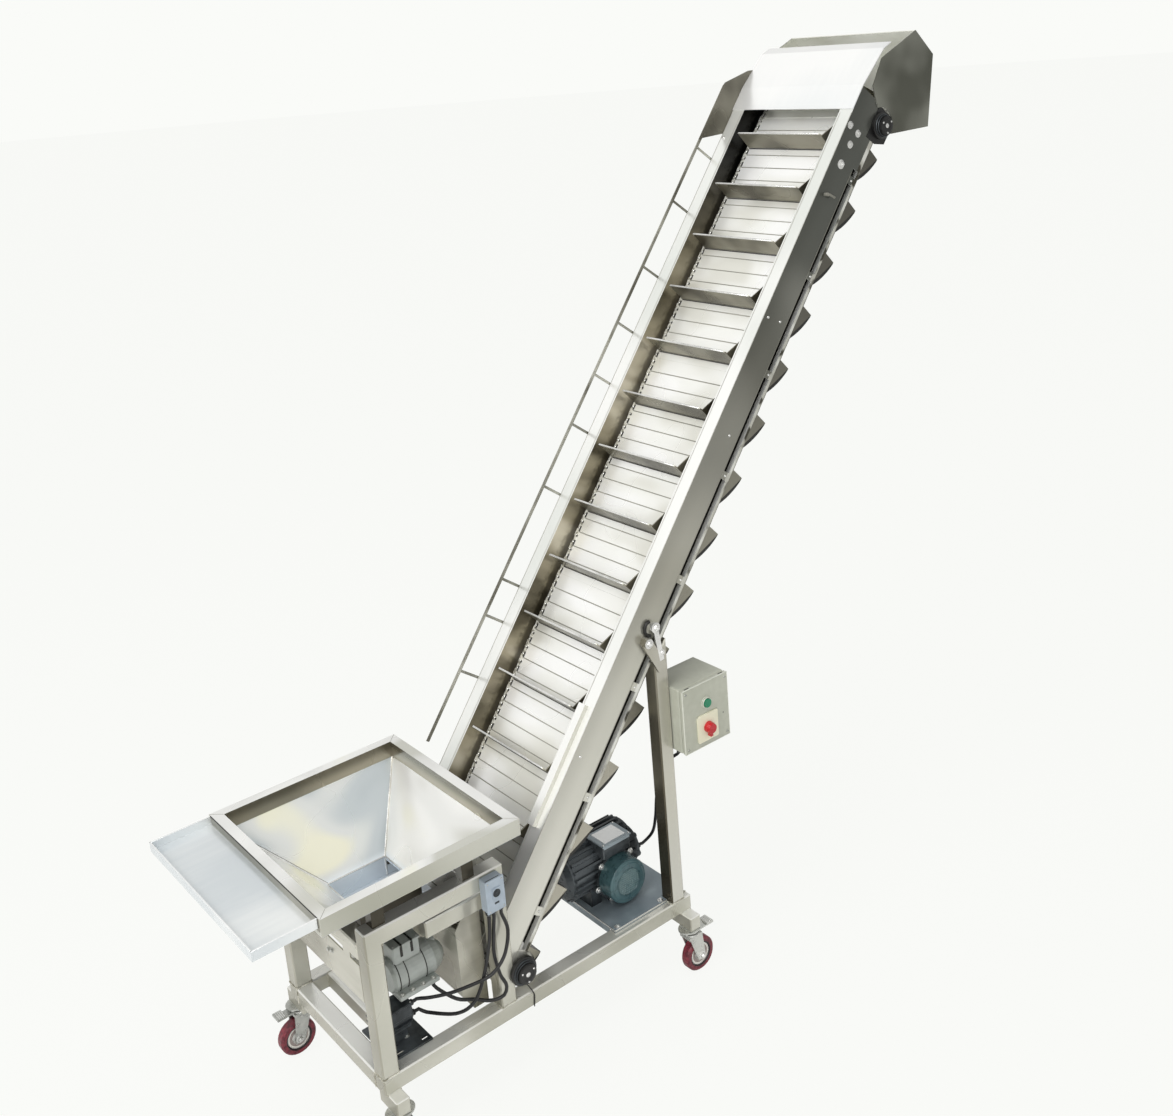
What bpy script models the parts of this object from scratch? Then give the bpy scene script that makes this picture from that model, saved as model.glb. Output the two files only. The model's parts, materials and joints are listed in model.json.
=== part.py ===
"""Inclined flighted elevator on a wheeled frame, with its feed hopper.

Metres, +Z up. +X is the way the product travels, -Y is the operator's side.
Lengths along the slope are measured from the tail shaft (s), and heights
across the slope from the line through both shafts (h).
"""

import math

import bmesh
import bpy
from mathutils import Matrix, Vector

# Clearance between two pieces that touch
GAP = 0.0003

# Slat chain
SLAT_PITCH = 0.0381
SLAT_COUNT = 124
SLATS_PER_FLIGHT = 4
SPROCKET_TEETH = 9
SLAT_THICKNESS = 0.005
SLAT_GROOVE = 0.0030
GROOVE_DEPTH = 0.002
FLIGHT_HALF_WIDTH = 0.146
LINK_WIDTH = 0.012
LINK_RISE = 0.0008
FLIGHT_HEIGHT = 0.060
FLIGHT_SHEET = 0.003
FLIGHT_LEAN = math.radians(10)
FLIGHT_CORNER = 0.008
CHEEK_REACH = 0.108
FIRST_FLIGHT_S = 0.1025

# Slope
INCLINE = math.radians(52.8)
TAIL_Z = 0.272
WRAP_RADIUS = SPROCKET_TEETH * SLAT_PITCH / math.tau
SHAFT_CENTRES = (SLAT_COUNT - SPROCKET_TEETH) / 2 * SLAT_PITCH

# Side beams of the conveyor
BEAM_INNER_Y = 0.169
BEAM_OUTER_Y = 0.212
BEAM_TOP_H = 0.110
WEB_BOTTOM_H = 0.027
WALL_BOTTOM_H = -0.008
BEAM_SHEET = 0.003
RETURN_RAIL_H = 0.000
RETURN_RAIL_DEPTH = 0.008
BEAM_END_BEYOND_HEAD = 0.045
SKIRT_WIDTH = 0.022
SKIRT_HEIGHT = 0.012
SKIRT_S = (0.300, 0.590)

# Wheeled base
TUBE = 0.040
TUBE_RADIUS = 0.003
FRAME_BEYOND_BEAM = 0.007
FRAME_HALF_WIDTH = BEAM_OUTER_Y + FRAME_BEYOND_BEAM
RAIL_TOP_Z = 0.204
FRAME_FRONT_X = -0.366
FRAME_REAR_X = 0.512
STAND_TOP_Z = 0.556
UPPER_CROSS_TOP_Z = 0.516
MID_POST_X = -0.061
MID_CROSS_X = -0.287
LEG_X = 0.451
LEG_TOP_BELOW_SHAFTS = 0.006
GUSSET = 0.030
APRON_SHEET = 0.003
APRON_HEIGHT = 0.090
APRON_DROP = 0.011
FEEDER_BAR_X0 = -0.208
FEEDER_BAR_WIDTH = 0.034
BOOT_TOP_Z = 0.445

# Casters
WHEEL_RADIUS = 0.045
WHEEL_WIDTH = 0.026
TREAD_DEPTH = 0.010
CASTER_TRAIL = 0.018
CASTER_Y = FRAME_HALF_WIDTH + 0.013
CASTER_BOX_WIDTH = 0.032
CASTER_BOX_OUT = FRAME_HALF_WIDTH + 0.035
FORK_PLATE = (0.034, 0.026)
PEDAL_REACH = 0.060
CASTER_BOX_Z = 0.129
FRONT_CASTER_X = -0.3445
REAR_CASTER_X = 0.492

# Feed hopper
HOPPER_X0 = -0.470
HOPPER_X1 = 0.006
HOPPER_HALF_WIDTH = 0.263
HOPPER_TOP_Z = 0.674
RIM_HEIGHT = 0.040
RIM_WIDTH = 0.025
HOPPER_SHEET = 0.003
THROAT_X0 = -0.300
THROAT_X1 = -0.152
THROAT_HALF_WIDTH = 0.075
THROAT_TOP_Z = 0.500
THROAT_BOTTOM_Z = 0.452
TRAY_X0 = -0.609
TRAY_HALF_WIDTH = 0.2545
TRAY_DEPTH = 0.022
TRAY_SHEET = 0.003

# Discharge head
CHUTE_SHEET = 0.0025

# Control box
BOX_X0 = LEG_X + TUBE + GAP
BOX_WIDTH = 0.148
BOX_DEPTH = 0.120
BOX_FRONT_Y = -FRAME_HALF_WIDTH - 0.043
BOX_Z0 = 0.613
BOX_Z1 = 0.780
BOX_LID = 0.012
BOX_SEAM = 0.0015
BUTTON_RADIUS = 0.011
KNOB_RADIUS = 0.014
KNOB_REACH = 0.020

# Drive: ribbed housing along x, with the round fan cover on its near side
HOUSING_X = (0.255, 0.445)
HOUSING_Y = -0.030
HOUSING_Z = 0.298
HOUSING_RADIUS = 0.072
RIB_COUNT = 22
RIB_DEPTH = 0.007
END_CAP = 0.017
COVER_DISC_RADIUS = 0.047
COVER_DISC_DEPTH = 0.020
FAN_X = 0.374
FAN_Z = 0.275
FAN_FLANGE_RADIUS = 0.062
FAN_FLANGE = 0.016
FAN_COVER_RADIUS = 0.0565
FAN_COVER_FRONT_Y = -0.150
FAN_COVER_DEPTH = 0.046
GRILLE_RADIUS = 0.034
PLATE_THICKNESS = 0.006
PLATE_FRONT_X = 0.283
PLATE_TO_RAIL_SIDE = 0.019

# Cables and their glands
CABLE_RADIUS = 0.004
GLAND_RADIUS = 0.0055
GLAND_LENGTH = 0.010

COS = math.cos(INCLINE)
SIN = math.sin(INCLINE)


def on_slope(s, h):
    """World x and z of a point given along and across the slope."""
    return s * COS - h * SIN, TAIL_Z + s * SIN + h * COS


def s_at_x(x, h):
    return (x + h * SIN) / COS


# Chute outline across the slope frame: discharge foot, back, roof and hood
CHUTE_OUTLINE = (
    (SHAFT_CENTRES - 0.011, -0.027),
    (SHAFT_CENTRES + 0.099, -0.164),
    (SHAFT_CENTRES + 0.261, -0.074),
    (SHAFT_CENTRES + 0.270, 0.020),
    (SHAFT_CENTRES + 0.140, 0.092),
    (SHAFT_CENTRES + 0.064, 0.082),
)

# The origin is under the middle of the whole machine
BACK_X, BACK_Z = on_slope(*CHUTE_OUTLINE[2])
CENTRE_X = (TRAY_X0 + BACK_X) / 2
KNOB_FACE_Y = BOX_FRONT_Y - KNOB_REACH
CENTRE_Y = (HOPPER_HALF_WIDTH + KNOB_FACE_Y) / 2

for old in list(bpy.data.objects):
    bpy.data.objects.remove(old, do_unlink=True)

machine = bpy.data.objects.new("elevator", None)
bpy.context.collection.objects.link(machine)
machine.location = (-CENTRE_X, -CENTRE_Y, 0)
slope = bpy.data.objects.new("slope", None)
bpy.context.collection.objects.link(slope)
slope.parent = machine
slope.location = (0, 0, TAIL_Z)
slope.rotation_euler = (0, -INCLINE, 0)


def material(name, colour, roughness, metallic):
    made = bpy.data.materials.new(name)
    made.use_nodes = True
    shader = made.node_tree.nodes["Principled BSDF"]
    shader.inputs["Base Color"].default_value = (*colour, 1)
    shader.inputs["Roughness"].default_value = roughness
    shader.inputs["Metallic"].default_value = metallic
    return made


STEEL = material("stainless_tube", (0.55, 0.55, 0.49), 0.35, 0.9)
SHEET = material("stainless_sheet", (0.66, 0.66, 0.62), 0.28, 0.9)
BELT = material("slat_chain", (0.80, 0.80, 0.78), 0.35, 0.7)
SHAFT = material("bright_shaft", (0.62, 0.62, 0.60), 0.25, 1.0)
PLATE = material("grey_plate", (0.30, 0.33, 0.36), 0.45, 0.5)
CAST = material("dark_casting", (0.06, 0.065, 0.07), 0.5, 0.4)
TEAL = material("teal_paint", (0.10, 0.19, 0.22), 0.45, 0.1)
GREY = material("grey_paint", (0.27, 0.29, 0.28), 0.5, 0.1)
BOX_PAINT = material("box_paint", (0.43, 0.45, 0.39), 0.5, 0.0)
SWITCH_PLASTIC = material("switch_plastic", (0.38, 0.44, 0.50), 0.45, 0.0)
GREEN = material("green_plastic", (0.0, 0.24, 0.12), 0.35, 0.0)
RED = material("red_plastic", (0.55, 0.01, 0.02), 0.35, 0.0)
ZINC = material("zinc_fork", (0.58, 0.58, 0.56), 0.35, 0.9)
TREAD = material("maroon_tread", (0.18, 0.02, 0.035), 0.45, 0.0)
BLACK = material("black_rubber", (0.015, 0.015, 0.015), 0.55, 0.0)


def mesh_object(name, bm, paint=None, parent=machine):
    bmesh.ops.recalc_face_normals(bm, faces=bm.faces)
    mesh = bpy.data.meshes.new(name)
    bm.to_mesh(mesh)
    bm.free()
    obj = bpy.data.objects.new(name, mesh)
    bpy.context.collection.objects.link(obj)
    obj.parent = parent
    if paint:
        mesh.materials.append(paint)
    return obj


def prism(name, outline, place, low, high, paint=None):
    """Extrudes an outline; place(u, v, w) gives the point at depth w."""
    bm = bmesh.new()
    first = [bm.verts.new(place(u, v, low)) for u, v in outline]
    last = [bm.verts.new(place(u, v, high)) for u, v in outline]
    bm.faces.new(first)
    bm.faces.new(list(reversed(last)))
    count = len(outline)
    for i in range(count):
        j = (i + 1) % count
        bm.faces.new((first[i], first[j], last[j], last[i]))
    parent = slope if place in (slope_y, slope_s) else machine
    return mesh_object(name, bm, paint, parent)


def along_y(u, v, w):
    """Outline in world x and z."""
    return Vector((u, w, v))


def along_x(u, v, w):
    """Outline in world y and z."""
    return Vector((w, u, v))


def along_z(u, v, w):
    """Outline in world x and y."""
    return Vector((u, v, w))


def slope_y(s, h, w):
    """Outline along and across the slope, in the slope's own axes."""
    return Vector((s, w, h))


def slope_s(y, h, s):
    """Outline in y and h, run along the slope, in the slope's own axes."""
    return Vector((s, y, h))


def rectangle(u0, u1, v0, v1):
    return ((u0, v0), (u1, v0), (u1, v1), (u0, v1))


def box(name, x, y, z, paint=None, radius=0.0):
    """Box from three (low, high) pairs, with rounded edges where asked."""
    obj = prism(name, rectangle(*x, *y), along_z, z[0], z[1], paint)
    if radius:
        soften(obj, radius)
    return obj


def ribbed(radius, depth, count, width=0.42):
    """Round outline with ribs, as the housing of a finned motor."""
    points = []
    for i in range(count):
        middle = math.tau * (i + 0.5) / count
        half = math.tau / count * width / 2
        low = radius - depth
        for a, r in ((-half, low), (-half * 0.7, radius), (half * 0.7, radius), (half, low)):
            points.append((r * math.cos(middle + a), r * math.sin(middle + a)))
    return points


def soften(obj, radius, segments=1, angle=40):
    bevel = obj.modifiers.new("edges", "BEVEL")
    bevel.width = radius
    bevel.segments = segments
    bevel.limit_method = "ANGLE"
    bevel.angle_limit = math.radians(angle)


def turned(name, profile, origin, axis, paint=None, steps=32, parent=machine):
    """Solid turned about an axis; profile is (radius, distance) pairs."""
    bm = bmesh.new()
    turn = Vector((0, 0, 1)).rotation_difference(Vector(axis)).to_matrix().to_4x4()
    turn = Matrix.Translation(origin) @ turn
    rings = []
    for radius, reach in profile:
        ring = []
        for i in range(steps):
            a = math.tau * i / steps
            ring.append(bm.verts.new(turn @ Vector((radius * math.cos(a), radius * math.sin(a), reach))))
        rings.append(ring)
    for one, two in zip(rings, rings[1:]):
        for i in range(steps):
            j = (i + 1) % steps
            bm.faces.new((one[i], one[j], two[j], two[i]))
    bm.faces.new(rings[0])
    bm.faces.new(list(reversed(rings[-1])))
    return mesh_object(name, bm, paint, parent)


def rod(name, start, end, radius, paint=None, steps=12, parent=machine):
    start, end = Vector(start), Vector(end)
    length = (end - start).length
    way = (end - start).normalized()
    return turned(name, ((radius, 0), (radius, length)), start, way, paint, steps, parent)


def combine(target, tools, operation):
    """Boolean of the target with each tool; the tools are used up."""
    for tool in tools:
        boolean = target.modifiers.new("boolean", "BOOLEAN")
        boolean.object = tool
        boolean.operation = operation
        boolean.solver = "EXACT"
    bpy.context.view_layer.update()
    graph = bpy.context.evaluated_depsgraph_get()
    shaped = bpy.data.meshes.new_from_object(target.evaluated_get(graph))
    target.modifiers.clear()
    target.data = shaped
    for tool in tools:
        bpy.data.objects.remove(tool, do_unlink=True)
    return target


def join(target, *tools):
    return combine(target, tools, "UNION")


def cut(target, *tools):
    return combine(target, tools, "DIFFERENCE")


def centred_on(obj, point):
    """Moves the object's origin to a point and leaves its shape in place."""
    obj.data.transform(Matrix.Translation(-Vector(point)))
    obj.location = point
    return obj


# Base rails with the caster boxes under their ends
RAIL_BOTTOM_Z = RAIL_TOP_Z - TUBE
INNER_Y = FRAME_HALF_WIDTH - TUBE


def base_rail(name, side):
    outer, inner = side * FRAME_HALF_WIDTH, side * INNER_Y
    rail = box(name, (FRAME_FRONT_X, FRAME_REAR_X), sorted((outer, inner)), RAIL_Z, STEEL, TUBE_RADIUS)
    boxes = []
    for x in (FRONT_CASTER_X, REAR_CASTER_X):
        half = CASTER_BOX_WIDTH / 2
        reach = sorted((inner, side * CASTER_BOX_OUT))
        height = (CASTER_BOX_Z, RAIL_BOTTOM_Z + 0.002)
        boxes.append(box("foot", (x - half, x + half), reach, height, None, 0.002))
    return join(rail, *boxes)


def base_frame():
    """Two rails welded to three cross tubes."""
    near = base_rail("base_frame", -1)
    far = base_rail("far", 1)
    weld = INNER_Y + 0.004
    crosses = []
    for x in (FRAME_FRONT_X, MID_CROSS_X, LEG_X):
        crosses.append(box("cross", (x, x + TUBE), (-weld, weld), RAIL_Z, None, TUBE_RADIUS))
    return join(near, far, *crosses)


RAIL_Z = (RAIL_BOTTOM_Z, RAIL_TOP_Z)
CROSS_Y = (-INNER_Y + GAP, INNER_Y - GAP)
base_frame()


def stand(name, side):
    """Two posts and the rail on top of them, as one welded piece."""
    y0, y1 = sorted((side * FRAME_HALF_WIDTH, side * INNER_Y))
    foot = RAIL_TOP_Z + GAP
    under = STAND_TOP_Z - TUBE
    outline = (
        (FRAME_FRONT_X, foot),
        (FRAME_FRONT_X + TUBE, foot),
        (FRAME_FRONT_X + TUBE, under),
        (MID_POST_X, under),
        (MID_POST_X, foot),
        (MID_POST_X + TUBE, foot),
        (MID_POST_X + TUBE, STAND_TOP_Z),
        (FRAME_FRONT_X, STAND_TOP_Z),
    )
    obj = prism(name, outline, along_y, y0, y1, STEEL)
    soften(obj, TUBE_RADIUS)
    bar_y = sorted((side * (INNER_Y + 0.006), side * (INNER_Y + 0.006 - FEEDER_BAR_WIDTH)))
    bar_z = (BOOT_TOP_Z + GAP, BOOT_TOP_Z + GAP + TUBE)
    bar = box("bar", (FEEDER_BAR_X0, MID_POST_X + TUBE - 0.004), bar_y, bar_z, None, TUBE_RADIUS)
    return join(obj, bar)


stand("stand_near", -1)
stand("stand_far", 1)
FRONT_X = (FRAME_FRONT_X, FRAME_FRONT_X + TUBE)


def front_panel():
    """Upper cross tube, with the apron plate that hangs from it on two tabs."""
    under = UPPER_CROSS_TOP_Z - TUBE
    cross = box("front_panel", FRONT_X, CROSS_Y, (under, UPPER_CROSS_TOP_Z), STEEL, TUBE_RADIUS)
    top = under - APRON_DROP
    x = (FRAME_FRONT_X + 0.0005, FRAME_FRONT_X + 0.0005 + APRON_SHEET)
    pieces = [box("apron", x, (CROSS_Y[0] + GAP, CROSS_Y[1] - GAP), (top - APRON_HEIGHT, top))]
    for side in (-1, 1):
        y = side * INNER_Y * 0.7
        pieces.append(box("tab", x, (y - 0.015, y + 0.015), (top - 0.002, under + TUBE / 2)))
    return join(cross, *pieces)


front_panel()


# Rear legs, cut to the slope, with the arm that is bolted to the beam's web
def leg(name, side):
    y0, y1 = sorted((side * FRAME_HALF_WIDTH, side * INNER_Y))
    top = -LEG_TOP_BELOW_SHAFTS
    x0, x1 = LEG_X, LEG_X + TUBE
    z0 = on_slope(s_at_x(x0, top), top)[1]
    z1 = on_slope(s_at_x(x1, top), top)[1]
    outline = ((x0, RAIL_TOP_Z + GAP), (x1, RAIL_TOP_Z + GAP), (x1, z1), (x0, z0))
    obj = prism(name, outline, along_y, y0, y1, STEEL)
    soften(obj, TUBE_RADIUS)
    web_s = s_at_x(x0 + TUBE / 2, 0.0)
    px, pz = on_slope(web_s - 0.005, WEB_BOTTOM_H + 0.022)
    low_x, low_z = x0 + TUBE / 2, (z0 + z1) / 2 - 0.045
    lean = Vector((px - low_x, pz - low_z)).normalized()
    wide = Vector((-lean.y, lean.x)) * 0.014
    arm_outline = (
        (low_x - wide.x, low_z - wide.y),
        (px - wide.x, pz - wide.y),
        (px + lean.x * 0.014, pz + lean.y * 0.014),
        (px + wide.x, pz + wide.y),
        (low_x + wide.x, low_z + wide.y),
    )
    a0, a1 = sorted((side * (FRAME_HALF_WIDTH - 0.001), side * (FRAME_HALF_WIDTH + 0.006)))
    arm = prism("arm", arm_outline, along_y, a0, a1)
    boss_out = FRAME_HALF_WIDTH + 0.012
    boss = rod("boss", (px, side * (BEAM_OUTER_Y + GAP), pz), (px, side * boss_out, pz), 0.012)
    foot = RAIL_TOP_Z + GAP
    curve = [(x1 - 0.004, foot), (x1 + GUSSET * 0.65, foot)]
    for i in range(1, 6):
        a = math.pi / 2 * i / 6
        curve.append((x1 + GUSSET * 0.65 * (1 - math.sin(a)), foot + GUSSET * (1 - math.cos(a))))
    curve += [(x1, foot + GUSSET), (x1 - 0.004, foot + GUSSET)]
    middle = side * (INNER_Y + TUBE / 2)
    gusset = prism("gusset", curve, along_y, middle - 0.002, middle + 0.002)
    return join(obj, arm, boss, gusset)


leg("leg_near", -1)
leg("leg_far", 1)


# Side beams: web, top flange, inner wall, return rail on tabs, tail bearing plate
BEAM_TOP_S = SHAFT_CENTRES + BEAM_END_BEYOND_HEAD


def side_beam(name, side):
    low_s = -0.10
    inner, outer, sheet = BEAM_INNER_Y, BEAM_OUTER_Y, BEAM_SHEET

    def section(y0, y1, h0, h1, s0, s1):
        low, high = sorted((side * y0, side * y1))
        return prism("piece", rectangle(low, high, h0, h1), slope_s, s0, s1)

    under = BEAM_TOP_H - sheet
    outline = (
        (side * outer, WEB_BOTTOM_H),
        (side * outer, BEAM_TOP_H),
        (side * inner, BEAM_TOP_H),
        (side * inner, WALL_BOTTOM_H),
        (side * (inner + sheet), WALL_BOTTOM_H),
        (side * (inner + sheet), under),
        (side * (outer - sheet), under),
        (side * (outer - sheet), WEB_BOTTOM_H),
    )
    beam = prism(name, outline, slope_s, low_s, BEAM_TOP_S, STEEL)
    rail_h = RETURN_RAIL_H + RETURN_RAIL_DEPTH
    pieces = [section(outer - 0.012, outer, RETURN_RAIL_H, rail_h, low_s + 0.01, SHAFT_CENTRES - 0.03)]
    for i in range(8):
        s = 0.12 + i * 0.27
        pieces.append(section(outer - sheet, outer, rail_h - 0.001, WEB_BOTTOM_H + 0.001, s, s + 0.02))
    strip_s = (SHAFT_CENTRES - 0.14, SHAFT_CENTRES - 0.03)
    pieces.append(section(outer - sheet, outer, rail_h - 0.001, WEB_BOTTOM_H + 0.001, *strip_s))
    if side < 0:
        skirt_h = (BEAM_TOP_H - 0.001, BEAM_TOP_H + SKIRT_HEIGHT)
        pieces.append(section(inner, inner + SKIRT_WIDTH, *skirt_h, *SKIRT_S))
    for s in (0, SHAFT_CENTRES):
        y0, y1 = sorted((side * outer, side * (outer - sheet)))
        reach = WEB_BOTTOM_H + 0.02
        pieces.append(prism("plate", tongue(s, 0.040, reach), slope_y, y0, y1))
    join(beam, *pieces)
    post_face = MID_POST_X + TUBE + GAP
    behind = box("behind", (-1.0, post_face), sorted((side * 0.1, side * 0.3)), (0.0, 1.0))
    bores = []
    for s in (0, SHAFT_CENTRES):
        x, z = on_slope(s, 0)
        bores.append(rod("bore", (x, side * 0.15, z), (x, side * 0.25, z), 0.0125 + GAP, None, 24))
    return cut(beam, behind, *bores)


def tongue(s, radius, reach):
    """Plate outline that is rounded below the shaft and straight above it."""
    points = [(s + radius, reach), (s - radius, reach)]
    for i in range(13):
        a = math.pi + math.pi * i / 12
        points.append((s + radius * math.cos(a), radius * math.sin(a)))
    return tuple(points)


side_beam("side_beam_near", -1)
side_beam("side_beam_far", 1)


# Slat chain: joints are spaced by the pitch along the loop round both sprockets
LOOP = SLAT_COUNT * SLAT_PITCH
ARC = math.pi * WRAP_RADIUS


def on_loop(t):
    """Point and outward normal in (s, h) at a distance t from the tail's top."""
    t %= LOOP
    if t < SHAFT_CENTRES:
        return Vector((t, WRAP_RADIUS)), Vector((0, 1))
    t -= SHAFT_CENTRES
    if t < ARC:
        a = math.pi / 2 - t / WRAP_RADIUS
        out = Vector((math.cos(a), math.sin(a)))
        return Vector((SHAFT_CENTRES, 0)) + out * WRAP_RADIUS, out
    t -= ARC
    if t < SHAFT_CENTRES:
        return Vector((SHAFT_CENTRES - t, -WRAP_RADIUS)), Vector((0, -1))
    t -= SHAFT_CENTRES
    a = -math.pi / 2 - t / WRAP_RADIUS
    out = Vector((math.cos(a), math.sin(a)))
    return out * WRAP_RADIUS, out


PHASE = FIRST_FLIGHT_S - SLAT_PITCH / 2


def joint(j):
    return on_loop(PHASE + j * SLAT_PITCH)[0]


def slat_frame(j):
    """Middle of slat j, its direction of travel and its outward normal."""
    a, b = joint(j), joint(j + 1)
    ahead = (b - a).normalized()
    return (a + b) / 2, ahead, Vector((-ahead.y, ahead.x))


def mitre(j):
    """Joint j, the outward line that halves its bend, and the way along it."""
    out = (slat_frame(j - 1)[2] + slat_frame(j)[2]).normalized()
    return joint(j), out, Vector((out.y, -out.x))


def chain_level(first, last, height):
    """Points at one height over the middle of the chain, one at each bend."""
    points = []
    for j in range(first, last + 2):
        at, out, along = mitre(j)
        ends = (first, last + 1)
        square = slat_frame(j)[2] if j <= last else slat_frame(last)[2]
        if j not in ends and out.dot(square) > 0.99999:
            continue
        shift = {first: GAP / 2, last + 1: -GAP / 2}.get(j, 0)
        points.append(at + out * height / out.dot(square) + along * shift)
    return points


def chain_part(name, first, last):
    """Slats from first to last between the link strips, with every fourth slat's flight."""
    half = SLAT_THICKNESS / 2
    top = []
    for j in range(first, last + 1):
        a, b = joint(j), joint(j + 1)
        middle, ahead, out = slat_frame(j)
        start_inset = GAP / 2 if j == first else SLAT_GROOVE / 2
        end_inset = GAP / 2 if j == last else SLAT_GROOVE / 2
        top.append(a + ahead * start_inset + out * half)
        top.append(b - ahead * end_inset + out * half)
        if j < last:
            at, bend, along = mitre(j + 1)
            top.append(at + bend * (half - GROOVE_DEPTH))
    under = list(reversed(chain_level(first, last, -half)))
    edge = FLIGHT_HALF_WIDTH
    band = prism(name, top + under, slope_y, -edge - 0.001, edge + 0.001, BELT)
    link = chain_level(first, last, half + LINK_RISE) + under
    pieces = [prism("links", link, slope_y, edge + 0.0005, edge + LINK_WIDTH)]
    pieces.append(prism("links", link, slope_y, -edge - LINK_WIDTH, -edge - 0.0005))
    feet = [j for j in range(first, last + 1) if j % SLATS_PER_FLIGHT == 0]
    pieces.append(blades(feet, half))
    pieces.append(cheeks(feet, half))
    return join(band, *pieces)


def flight(j, half):
    """Foot of the flight on slat j, the way up its plate, through it and ahead."""
    middle, ahead, out = slat_frame(j)
    foot = middle + out * (half - 0.0015)
    rise = out * (FLIGHT_HEIGHT + 0.0015) + ahead * FLIGHT_HEIGHT * math.tan(FLIGHT_LEAN)
    return foot, rise, ahead * FLIGHT_SHEET / math.cos(FLIGHT_LEAN), ahead


def blades(feet, half):
    """Upright plates across the chain, with the near upper corner cut off."""
    w = FLIGHT_HALF_WIDTH
    low = 1 - FLIGHT_CORNER / FLIGHT_HEIGHT
    face = ((-w, 0), (w, 0), (w, 1), (FLIGHT_CORNER - w, 1), (-w, low))
    bm = bmesh.new()
    for j in feet:
        foot, rise, through, ahead = flight(j, half)
        rings = []
        for k in (0, 1):
            points = [(y, foot + rise * up + through * k) for y, up in face]
            rings.append([bm.verts.new(slope_y(p.x, p.y, y)) for y, p in points])
        close_prism(bm, *rings)
    return mesh_object("blades", bm, None, slope)


def cheeks(feet, half):
    """Triangular end plates in front of the blades, at their near ends."""
    w = FLIGHT_HALF_WIDTH
    bm = bmesh.new()
    for j in feet:
        foot, rise, through, ahead = flight(j, half)
        tip = foot + rise * (1 - FLIGHT_CORNER / FLIGHT_HEIGHT)
        outline = (foot, foot + ahead * CHEEK_REACH, tip + through, tip)
        rings = []
        for y in (-w, FLIGHT_SHEET - w):
            rings.append([bm.verts.new(slope_y(p.x, p.y, y)) for p in outline])
        close_prism(bm, *rings)
    return mesh_object("cheeks", bm, None, slope)


def close_prism(bm, first, last):
    bm.faces.new(first)
    bm.faces.new(list(reversed(last)))
    for i in range(len(first)):
        k = (i + 1) % len(first)
        bm.faces.new((first[i], first[k], last[k], last[i]))


# The chain is divided just before a flight, at the joints nearest the sprockets
FLIGHTS_UP = int((SHAFT_CENTRES - PHASE) / (SLATS_PER_FLIGHT * SLAT_PITCH))
HEAD_FIRST = FLIGHTS_UP * SLATS_PER_FLIGHT
RETURN_FIRST = HEAD_FIRST + 2 * SLATS_PER_FLIGHT
FLIGHTS_TOTAL = SLAT_COUNT // SLATS_PER_FLIGHT
TAIL_FIRST = (FLIGHTS_TOTAL - 2) * SLATS_PER_FLIGHT
LOWER_CARRY = 5 * SLATS_PER_FLIGHT
UPPER_CARRY = 9 * SLATS_PER_FLIGHT
HALF_RETURN = RETURN_FIRST + (TAIL_FIRST - RETURN_FIRST) // (2 * SLATS_PER_FLIGHT) * SLATS_PER_FLIGHT
chain_part("chain_carry_lower", 0, LOWER_CARRY - 1)
chain_part("chain_carry_middle", LOWER_CARRY, UPPER_CARRY - 1)
chain_part("chain_head", UPPER_CARRY, RETURN_FIRST - 1)
chain_part("chain_return_upper", RETURN_FIRST, HALF_RETURN - 1)
chain_part("chain_return_lower", HALF_RETURN, TAIL_FIRST - 1)
chain_part("chain_tail", TAIL_FIRST, SLAT_COUNT - 1)


# Shafts with their sprocket drums and the outside bearings
def shaft(name, s, seat):
    x, z = on_slope(s, 0)
    drum = WRAP_RADIUS * math.cos(math.pi / SPROCKET_TEETH) - SLAT_THICKNESS / 2 - GAP
    reach = seat + 0.020
    inside = BEAM_INNER_Y - 0.004
    profile = (
        (0.0125, -reach),
        (0.0125, -inside),
        (drum, -inside),
        (drum, -inside + 0.03),
        (0.020, -inside + 0.03),
        (0.020, inside - 0.03),
        (drum, inside - 0.03),
        (drum, inside),
        (0.0125, inside),
        (0.0125, reach),
    )
    return turned(name, profile, (x, 0, z), (0, 1, 0), SHAFT, 27)


shaft("tail_shaft", 0, FRAME_HALF_WIDTH)
shaft("head_shaft", SHAFT_CENTRES, BEAM_OUTER_Y)


def bearing(name, s, side, seat):
    x, z = on_slope(s, 0)
    y = side * (seat + GAP)
    profile = ((0.034, 0), (0.034, 0.008), (0.024, 0.012), (0.024, 0.022))
    obj = turned(name, profile, (x, y, z), (0, side, 0), BLACK, 28)
    return cut(obj, rod("bore", (x, 0, z), (x, side * 0.3, z), 0.0125 + GAP, None, 24))


bearing("tail_bearing_near", 0, -1, FRAME_HALF_WIDTH)
bearing("head_bearing_near", SHAFT_CENTRES, -1, BEAM_OUTER_Y)


# Discharge chute: two side plates and the back plate, open above and below
def chute():
    out_y = BEAM_OUTER_Y + GAP
    near = prism("discharge_chute", CHUTE_OUTLINE, slope_y, -out_y - CHUTE_SHEET, -out_y, SHEET)
    far = prism("far", CHUTE_OUTLINE, slope_y, out_y, out_y + CHUTE_SHEET)
    back = []
    for i in (1, 2):
        a, b = Vector(CHUTE_OUTLINE[i]), Vector(CHUTE_OUTLINE[i + 1])
        inward = (b - a).normalized()
        inward = Vector((-inward.y, inward.x)) * CHUTE_SHEET
        back.append(prism("back", (a, b, b + inward, a + inward), slope_y, -out_y - 0.001, out_y + 0.001))
    join(near, far, *back)
    x, z = on_slope(SHAFT_CENTRES, 0)
    hole = rod("hole", (x, -0.4, z), (x, 0.4, z), 0.046, None, 32)
    return cut(near, hole)


chute()


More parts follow.
